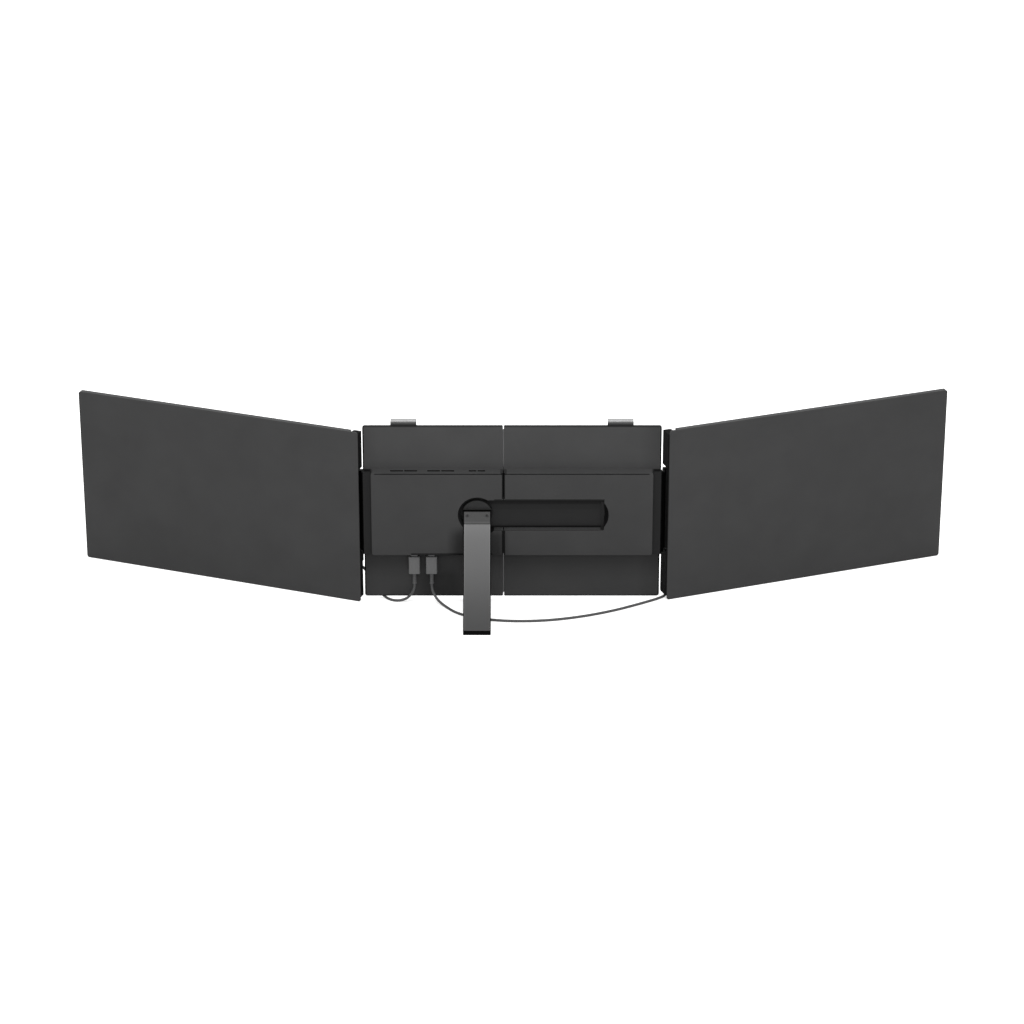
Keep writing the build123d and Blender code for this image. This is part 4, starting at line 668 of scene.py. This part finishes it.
def board_finish():
    """A circuit board: green mask with a grid of lighter tracks and gold pads."""
    material = bpy.data.materials.new("circuit_board")
    tree, links, shader = finish_nodes(material)
    coordinates = tree.nodes.new("ShaderNodeTexCoord")
    tracks = tree.nodes.new("ShaderNodeTexBrick")
    tracks.inputs["Scale"].default_value = 260.0
    tracks.inputs["Color1"].default_value = (0.012, 0.07, 0.03, 1)
    tracks.inputs["Color2"].default_value = (0.016, 0.095, 0.042, 1)
    tracks.inputs["Mortar"].default_value = (0.03, 0.16, 0.07, 1)
    tracks.inputs["Mortar Size"].default_value = 0.035
    links.new(coordinates.outputs["Object"], tracks.inputs["Vector"])
    links.new(tracks.outputs["Color"], shader.inputs["Base Color"])
    links.new(between(tree, fine_noise(tree, 800.0), 0.3, 0.45), shader.inputs["Roughness"])
    links.new(relief(tree, tracks.outputs["Fac"], 0.00003), shader.inputs["Normal"])
    return material


display_glass = glass_front()
circuit_board = board_finish()
for side_name in ("left", "right"):
    skin_of(f"{side_name}_screen_cover", cover_grey)
    skin_of(f"{side_name}_screen_frame", bezel_black)
    skin_of(f"{side_name}_screen_glass", display_glass)
    skin_of(f"{side_name}_lcd_module", panel_metal)
    skin_of(f"{side_name}_driver_board", circuit_board)
    skin_of(f"{side_name}_power_button", button_grey)


# ---- Stand ----
# A hub in the dish turns on a sprung bolt. Its bracket holds a cross pin, and a lacquered metal leg with a
# rubber foot swings out on it.
hub_grey = moulded("hub_grain_painted_shade", (0.021, 0.021, 0.0212), roughness=0.55, specular=0.1)
# Painted shade: the hub is darker below, round the bracket.
paint_light_and_shade_along(hub_grey, "Z", (0.088, 0.3), (0.1105, 0.3), (0.1155, 1.0), (0.122, 1.0))


def satin_lacquer(name, colour, roughness):
    """Satin metallic lacquer: fine flakes over a slow drift of tone."""
    material = bpy.data.materials.new(name)
    tree, links, shader = finish_nodes(material)
    slow = fine_noise(tree, 14.0)
    flakes = fine_noise(tree, 5200.0, 1.0)
    links.new(two_tone(tree, slow, colour, 0.035), shader.inputs["Base Color"])
    links.new(between(tree, flakes, roughness - 0.07, roughness + 0.07), shader.inputs["Roughness"])
    links.new(relief(tree, flakes, 0.000004), shader.inputs["Normal"])
    shader.inputs["Metallic"].default_value = 0.6
    shader.inputs["Specular IOR Level"].default_value = 0.3
    return material


leg_grey = satin_lacquer("leg_lacquer_painted_light", (0.110, 0.110, 0.1107), 0.42)
# Painted reflection and shade: the leg is lighter at the top and darker towards the foot.
paint_light_and_shade_along(leg_grey, "Z", (0.0, 0.33), (0.024, 0.45), (0.060, 0.72), (0.082, 0.87), (0.094, 1.0))
# Painted highlights: lighter lines along both long edges of the leg's face.
leg_left_painted_highlight = ((-0.0519, 1.1), (-0.0501, 1.1))
leg_face_between_highlights = ((-0.0499, 0.9), (-0.0244, 0.9))
leg_right_painted_highlight = ((-0.0242, 1.1), (-0.0225, 1.1))
paint_light_and_shade_along(leg_grey, "X", *leg_left_painted_highlight, *leg_face_between_highlights, *leg_right_painted_highlight)
bracket_grey = satin_lacquer("bracket_lacquer_painted_light", (0.088, 0.088, 0.0885), 0.45)
# Painted light on the bracket: a painted highlight on the lip at the bend with darker bands beside it, and
# a near-black painted shadow along the top.
bracket_bend_painted_light = ((0.094, 0.6), (0.0955, 0.66), (0.0962, 1.0), (0.0972, 1.0), (0.0985, 0.8))
bracket_top_painted_shadow = ((0.1085, 0.76), (0.1090, 0.5), (0.1093, 0.03), (0.1096, 0.02))
paint_light_and_shade_along(bracket_grey, "Z", *bracket_bend_painted_light, *bracket_top_painted_shadow)
# Painted shade: near-black lines down both long sides of the leg and the bracket.
leg_painted_dark_edges = ((-0.053, -0.05105), (-0.02335, -0.021))
for finish in (leg_grey, bracket_grey):
    for edge in leg_painted_dark_edges:
        paint_light_and_shade_in_box(finish, 0.02, X=edge)
foot_rubber = moulded(
    "foot_rubber", (0.0022, 0.0022, 0.0022), roughness=0.75, specular=0.02, grain=2200.0
)
skin_of("hub_disc", hub_grey)
skin_of("stand_bracket", bracket_grey)
skin_of("stand_leg", leg_grey)
skin_of("stand_foot", foot_rubber)
spring_steel = metal("spring_steel", (0.42, 0.42, 0.43), roughness=0.3)
screw_zinc = metal("screw_zinc", (0.085, 0.085, 0.086), roughness=0.42)
skin_of("leg_pin", pin_steel)
skin_of("hub_washer", spring_steel)
skin_of("hub_bolt", screw_zinc)


# ---- Screws ----
# Small dark screws with a cross recess hold the two skins of each half together, and two more hold the
# stand's bracket to its hub.
def screw_head(radius, height, arm, slot_width, depth):
    """One head, facing along +Z with its rim at zero: a chamfered disc with a cross sunk in it."""
    work = bmesh.new()
    steps = 32
    flat_share = 0.93
    chamfer = radius * 0.07
    flat = radius * flat_share
    circle = [
        work.verts.new((flat * math.cos(t), flat * math.sin(t), 0))
        for t in (2 * math.pi * k / steps for k in range(steps))
    ]
    half = slot_width / 2
    corners = []
    for quarter in range(4):
        turn = Matrix.Rotation(quarter * math.pi / 2, 4, "Z")
        for x, y in ((half, half), (arm, half), (arm, -half)):
            corners.append(turn @ Vector((x, y, 0)))
    order = sorted(corners, key=lambda p: math.atan2(p.y, p.x))
    cross = [work.verts.new(p) for p in order]
    rim = [work.edges.new((circle[k], circle[(k + 1) % steps])) for k in range(steps)]
    edge = [work.edges.new((cross[k], cross[(k + 1) % 12])) for k in range(12)]
    bmesh.ops.triangle_fill(work, edges=rim + edge, use_beauty=True)
    for face in [f for f in work.faces if all(v in cross for v in f.verts)]:
        work.faces.remove(face)
    sunk = [work.verts.new(v.co + Vector((0, 0, -depth))) for v in cross]
    for k in range(12):
        after = (k + 1) % 12
        work.faces.new((cross[k], cross[after], sunk[after], sunk[k]))
    work.faces.new(sunk)
    below = [work.verts.new((v.co.x / flat_share, v.co.y / flat_share, -chamfer)) for v in circle]
    foot = [work.verts.new((v.co.x / flat_share, v.co.y / flat_share, -height)) for v in circle]
    for upper, lower in ((circle, below), (below, foot)):
        for k in range(steps):
            after = (k + 1) % steps
            work.faces.new((upper[k], upper[after], lower[after], lower[k]))
    work.faces.new(foot)
    bmesh.ops.recalc_face_normals(work, faces=work.faces)
    smooth_by_angle(work, 30)
    mesh = bpy.data.meshes.new("screw_head")
    work.to_mesh(mesh)
    work.free()
    return mesh


def screw_tree():
    """A head on each point, turned to face along a direction."""
    tree, given, copies = copying_tree("screw_row", Geometry="Geometry", Head="Object", Turn="Vector")
    head = tree.nodes.new("GeometryNodeObjectInfo")
    euler = tree.nodes.new("FunctionNodeEulerToRotation")
    tree.links.new(given.outputs["Head"], head.inputs["Object"])
    tree.links.new(given.outputs["Geometry"], copies.inputs["Points"])
    tree.links.new(head.outputs["Geometry"], copies.inputs["Instance"])
    tree.links.new(given.outputs["Turn"], euler.inputs["Euler"])
    tree.links.new(euler.outputs["Rotation"], copies.inputs["Rotation"])
    return tree


screw_row = screw_tree()
head_radius = 0.0019
head_height = 0.0008
cross_reach = 0.00115
cross_width = 0.00042
cross_depth = 0.0004
shank_radius = 0.001


def loose_solids(node):
    """The corners of each separate solid in a node."""
    work = merged(node)
    left = set(work.verts)
    groups = []
    while left:
        todo = [left.pop()]
        group = []
        while todo:
            vert = todo.pop()
            group.append(vert.co.copy())
            for edge in vert.link_edges:
                other = edge.other_vert(vert)
                if other in left:
                    left.remove(other)
                    todo.append(other)
        groups.append(group)
    work.free()
    return groups


def screws(node, facing):
    """Replaces a node's plain screws: heads at the face that shows, shanks behind them."""
    points = []
    shanks = []
    for solid in loose_solids(node):
        xs = [p.x for p in solid]
        ys = [p.y for p in solid]
        zs = [p.z for p in solid]
        face = max(ys) if facing > 0 else min(ys)
        back = min(ys) if facing > 0 else max(ys)
        centre = Vector(((min(xs) + max(xs)) / 2, face, (min(zs) + max(zs)) / 2))
        points.append(centre)
        shanks.append((centre, back))
    seed = bpy.data.meshes.new("seed")
    seed.from_pydata(points, [], [])
    head_mesh = screw_head(head_radius, head_height, cross_reach, cross_width, cross_depth)
    master = bpy.data.objects.new("screw_master", head_mesh)
    scene.collection.objects.link(master)
    piece = grown(
        f"{node}_heads",
        screw_row,
        seed,
        Head=master,
        Turn=(math.radians(-90 * facing), 0, 0),
        Finish=screw_zinc,
    )
    bpy.data.objects.remove(master)
    body = nodes[node]["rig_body"]
    put(piece, body)
    work = bmesh.new()
    for centre, back in shanks:
        reach = abs(back - centre.y) - head_height
        middle = Vector((centre.x, centre.y - facing * (head_height + reach / 2), centre.z))
        place = Matrix.Translation(middle) @ Matrix.Rotation(math.pi / 2, 4, "X")
        ends = {"radius1": shank_radius, "radius2": shank_radius}
        bmesh.ops.create_cone(work, cap_ends=True, segments=20, depth=reach, matrix=place, **ends)
    smooth_by_angle(work, 30)
    mesh = bpy.data.meshes.new(f"{node}_shanks")
    work.to_mesh(mesh)
    work.free()
    mesh.materials.append(screw_zinc)
    put(bpy.data.objects.new(f"{node}_shanks", mesh), body)
    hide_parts(node)


screws("left_screws", 1)
screws("right_screws", 1)
screws("bracket_screws", -1)


# ---- Clips ----
# Bent metal hooks slide up out of the plate's top edge over a laptop's lid, and coil springs pull them
# back down. Their lacquer is a lighter grey than the plate, with painted shade that takes it near black
# below the top and a painted highlight along the top.
clip_grey = satin_lacquer("clip_lacquer_painted_light", (0.50, 0.50, 0.503), 0.34)
# Painted shade and highlight: near black up the hook's face, bright along its top.
clip_painted_shade_up = ((0.2029, 0.02), (0.2040, 0.025), (0.2052, 0.07), (0.2063, 0.08), (0.2073, 0.09))
clip_painted_highlight_at_bend = ((0.20775, 0.4), (0.2079, 0.9))
paint_light_and_shade_along(clip_grey, "Z", *clip_painted_shade_up, *clip_painted_highlight_at_bend)
for side_name in ("left", "right"):
    skin_of(f"{side_name}_clip", clip_grey)
    skin_of(f"{side_name}_clip_spring", spring_steel)


# ---- Rails and guides ----
# Two steel rails on the left half run in moulded channels on the right half. Both lie inside the band.
rail_steel = metal("rail_steel", (0.40, 0.40, 0.41), roughness=0.35, stretch=(0.04, 1, 1))
guide_plastic = moulded("guide_plastic", (0.015, 0.015, 0.016), roughness=0.4, specular=0.4)
skin_of("slide_rails", rail_steel)
skin_of("slide_guides", guide_plastic)


# ---- Main board and sockets ----
# The board inside the band's left half takes both plugs, and a third socket is free for the laptop.
skin_of("main_board", circuit_board)
skin_of("usb_sockets", tip_metal)


# ---- Table and light ----
# A plain white table and surround, with three wide soft lamps: above, before and behind the object.
floor_mesh = bpy.data.meshes.new("table_top")
reach = 6.0
floor_mesh.from_pydata(
    [(-reach, -reach, 0), (reach, -reach, 0), (reach, reach, 0), (-reach, reach, 0)], [], [(0, 1, 2, 3)]
)
table_top = bpy.data.objects.new("table_top", floor_mesh)
scene.collection.objects.link(table_top)


def table_white():
    """Plain white that the camera sees a little brighter than it is lit, so that only shadow shows."""
    material = bpy.data.materials.new("table_white")
    tree, links, shader = finish_nodes(material)
    slow = fine_noise(tree, 3.0)
    links.new(two_tone(tree, slow, (0.80, 0.80, 0.80), 0.01), shader.inputs["Base Color"])
    shader.inputs["Roughness"].default_value = 0.9
    shader.inputs["Specular IOR Level"].default_value = 0.1
    glow = tree.nodes.new("ShaderNodeEmission")
    glow.inputs["Strength"].default_value = 0.55
    added = tree.nodes.new("ShaderNodeAddShader")
    seen = tree.nodes.new("ShaderNodeLightPath")
    mix = tree.nodes.new("ShaderNodeMixShader")
    links.new(shader.outputs["BSDF"], added.inputs[0])
    links.new(glow.outputs["Emission"], added.inputs[1])
    links.new(seen.outputs["Is Camera Ray"], mix.inputs["Fac"])
    links.new(shader.outputs["BSDF"], mix.inputs[1])
    links.new(added.outputs["Shader"], mix.inputs[2])
    links.new(mix.outputs["Shader"], tree.nodes["Material Output"].inputs["Surface"])
    return material


floor_mesh.materials.append(table_white())

world = bpy.data.worlds.new("studio")
scene.world = world
world.use_nodes = True
sky = world.node_tree.nodes
sky_links = world.node_tree.links
ambient = sky["Background"]
ambient.inputs["Color"].default_value = (1, 1, 1, 1)
ambient.inputs["Strength"].default_value = 0.5
backdrop = sky.new("ShaderNodeBackground")
backdrop.inputs["Color"].default_value = (1, 1, 1, 1)
backdrop.inputs["Strength"].default_value = 1.0
ray = sky.new("ShaderNodeLightPath")
seen_white = ray.outputs["Is Camera Ray"]
blend = sky.new("ShaderNodeMixShader")
for kind in ("Is Transmission Ray", "Is Glossy Ray"):
    either = sky.new("ShaderNodeMath")
    either.operation = "MAXIMUM"
    sky_links.new(seen_white, either.inputs[0])
    sky_links.new(ray.outputs[kind], either.inputs[1])
    seen_white = either.outputs["Value"]
sky_links.new(seen_white, blend.inputs["Fac"])
sky_links.new(ambient.outputs["Background"], blend.inputs[1])
sky_links.new(backdrop.outputs["Background"], blend.inputs[2])
sky_links.new(blend.outputs["Shader"], sky["World Output"].inputs["Surface"])


def soft_light(name, place, width, depth, power):
    """A large square lamp that faces the middle of the object."""
    lamp = bpy.data.lights.new(name, "AREA")
    lamp.shape = "RECTANGLE"
    lamp.size = width
    lamp.size_y = depth
    lamp.energy = power
    holder = bpy.data.objects.new(name, lamp)
    holder.location = place
    aim = plate_middle + Vector((0, 0, 0.1))
    holder.rotation_euler = (aim - holder.location).to_track_quat("-Z", "Y").to_euler()
    scene.collection.objects.link(holder)


soft_light("overhead_light", Vector((0, -0.5, 2.2)), 1.7, 0.8, 34)
soft_light("front_light", Vector((0, 1.1, 1.9)), 1.8, 0.6, 26)
soft_light("rear_fill_light", Vector((0.1, -2.4, 1.5)), 0.9, 0.9, 20)

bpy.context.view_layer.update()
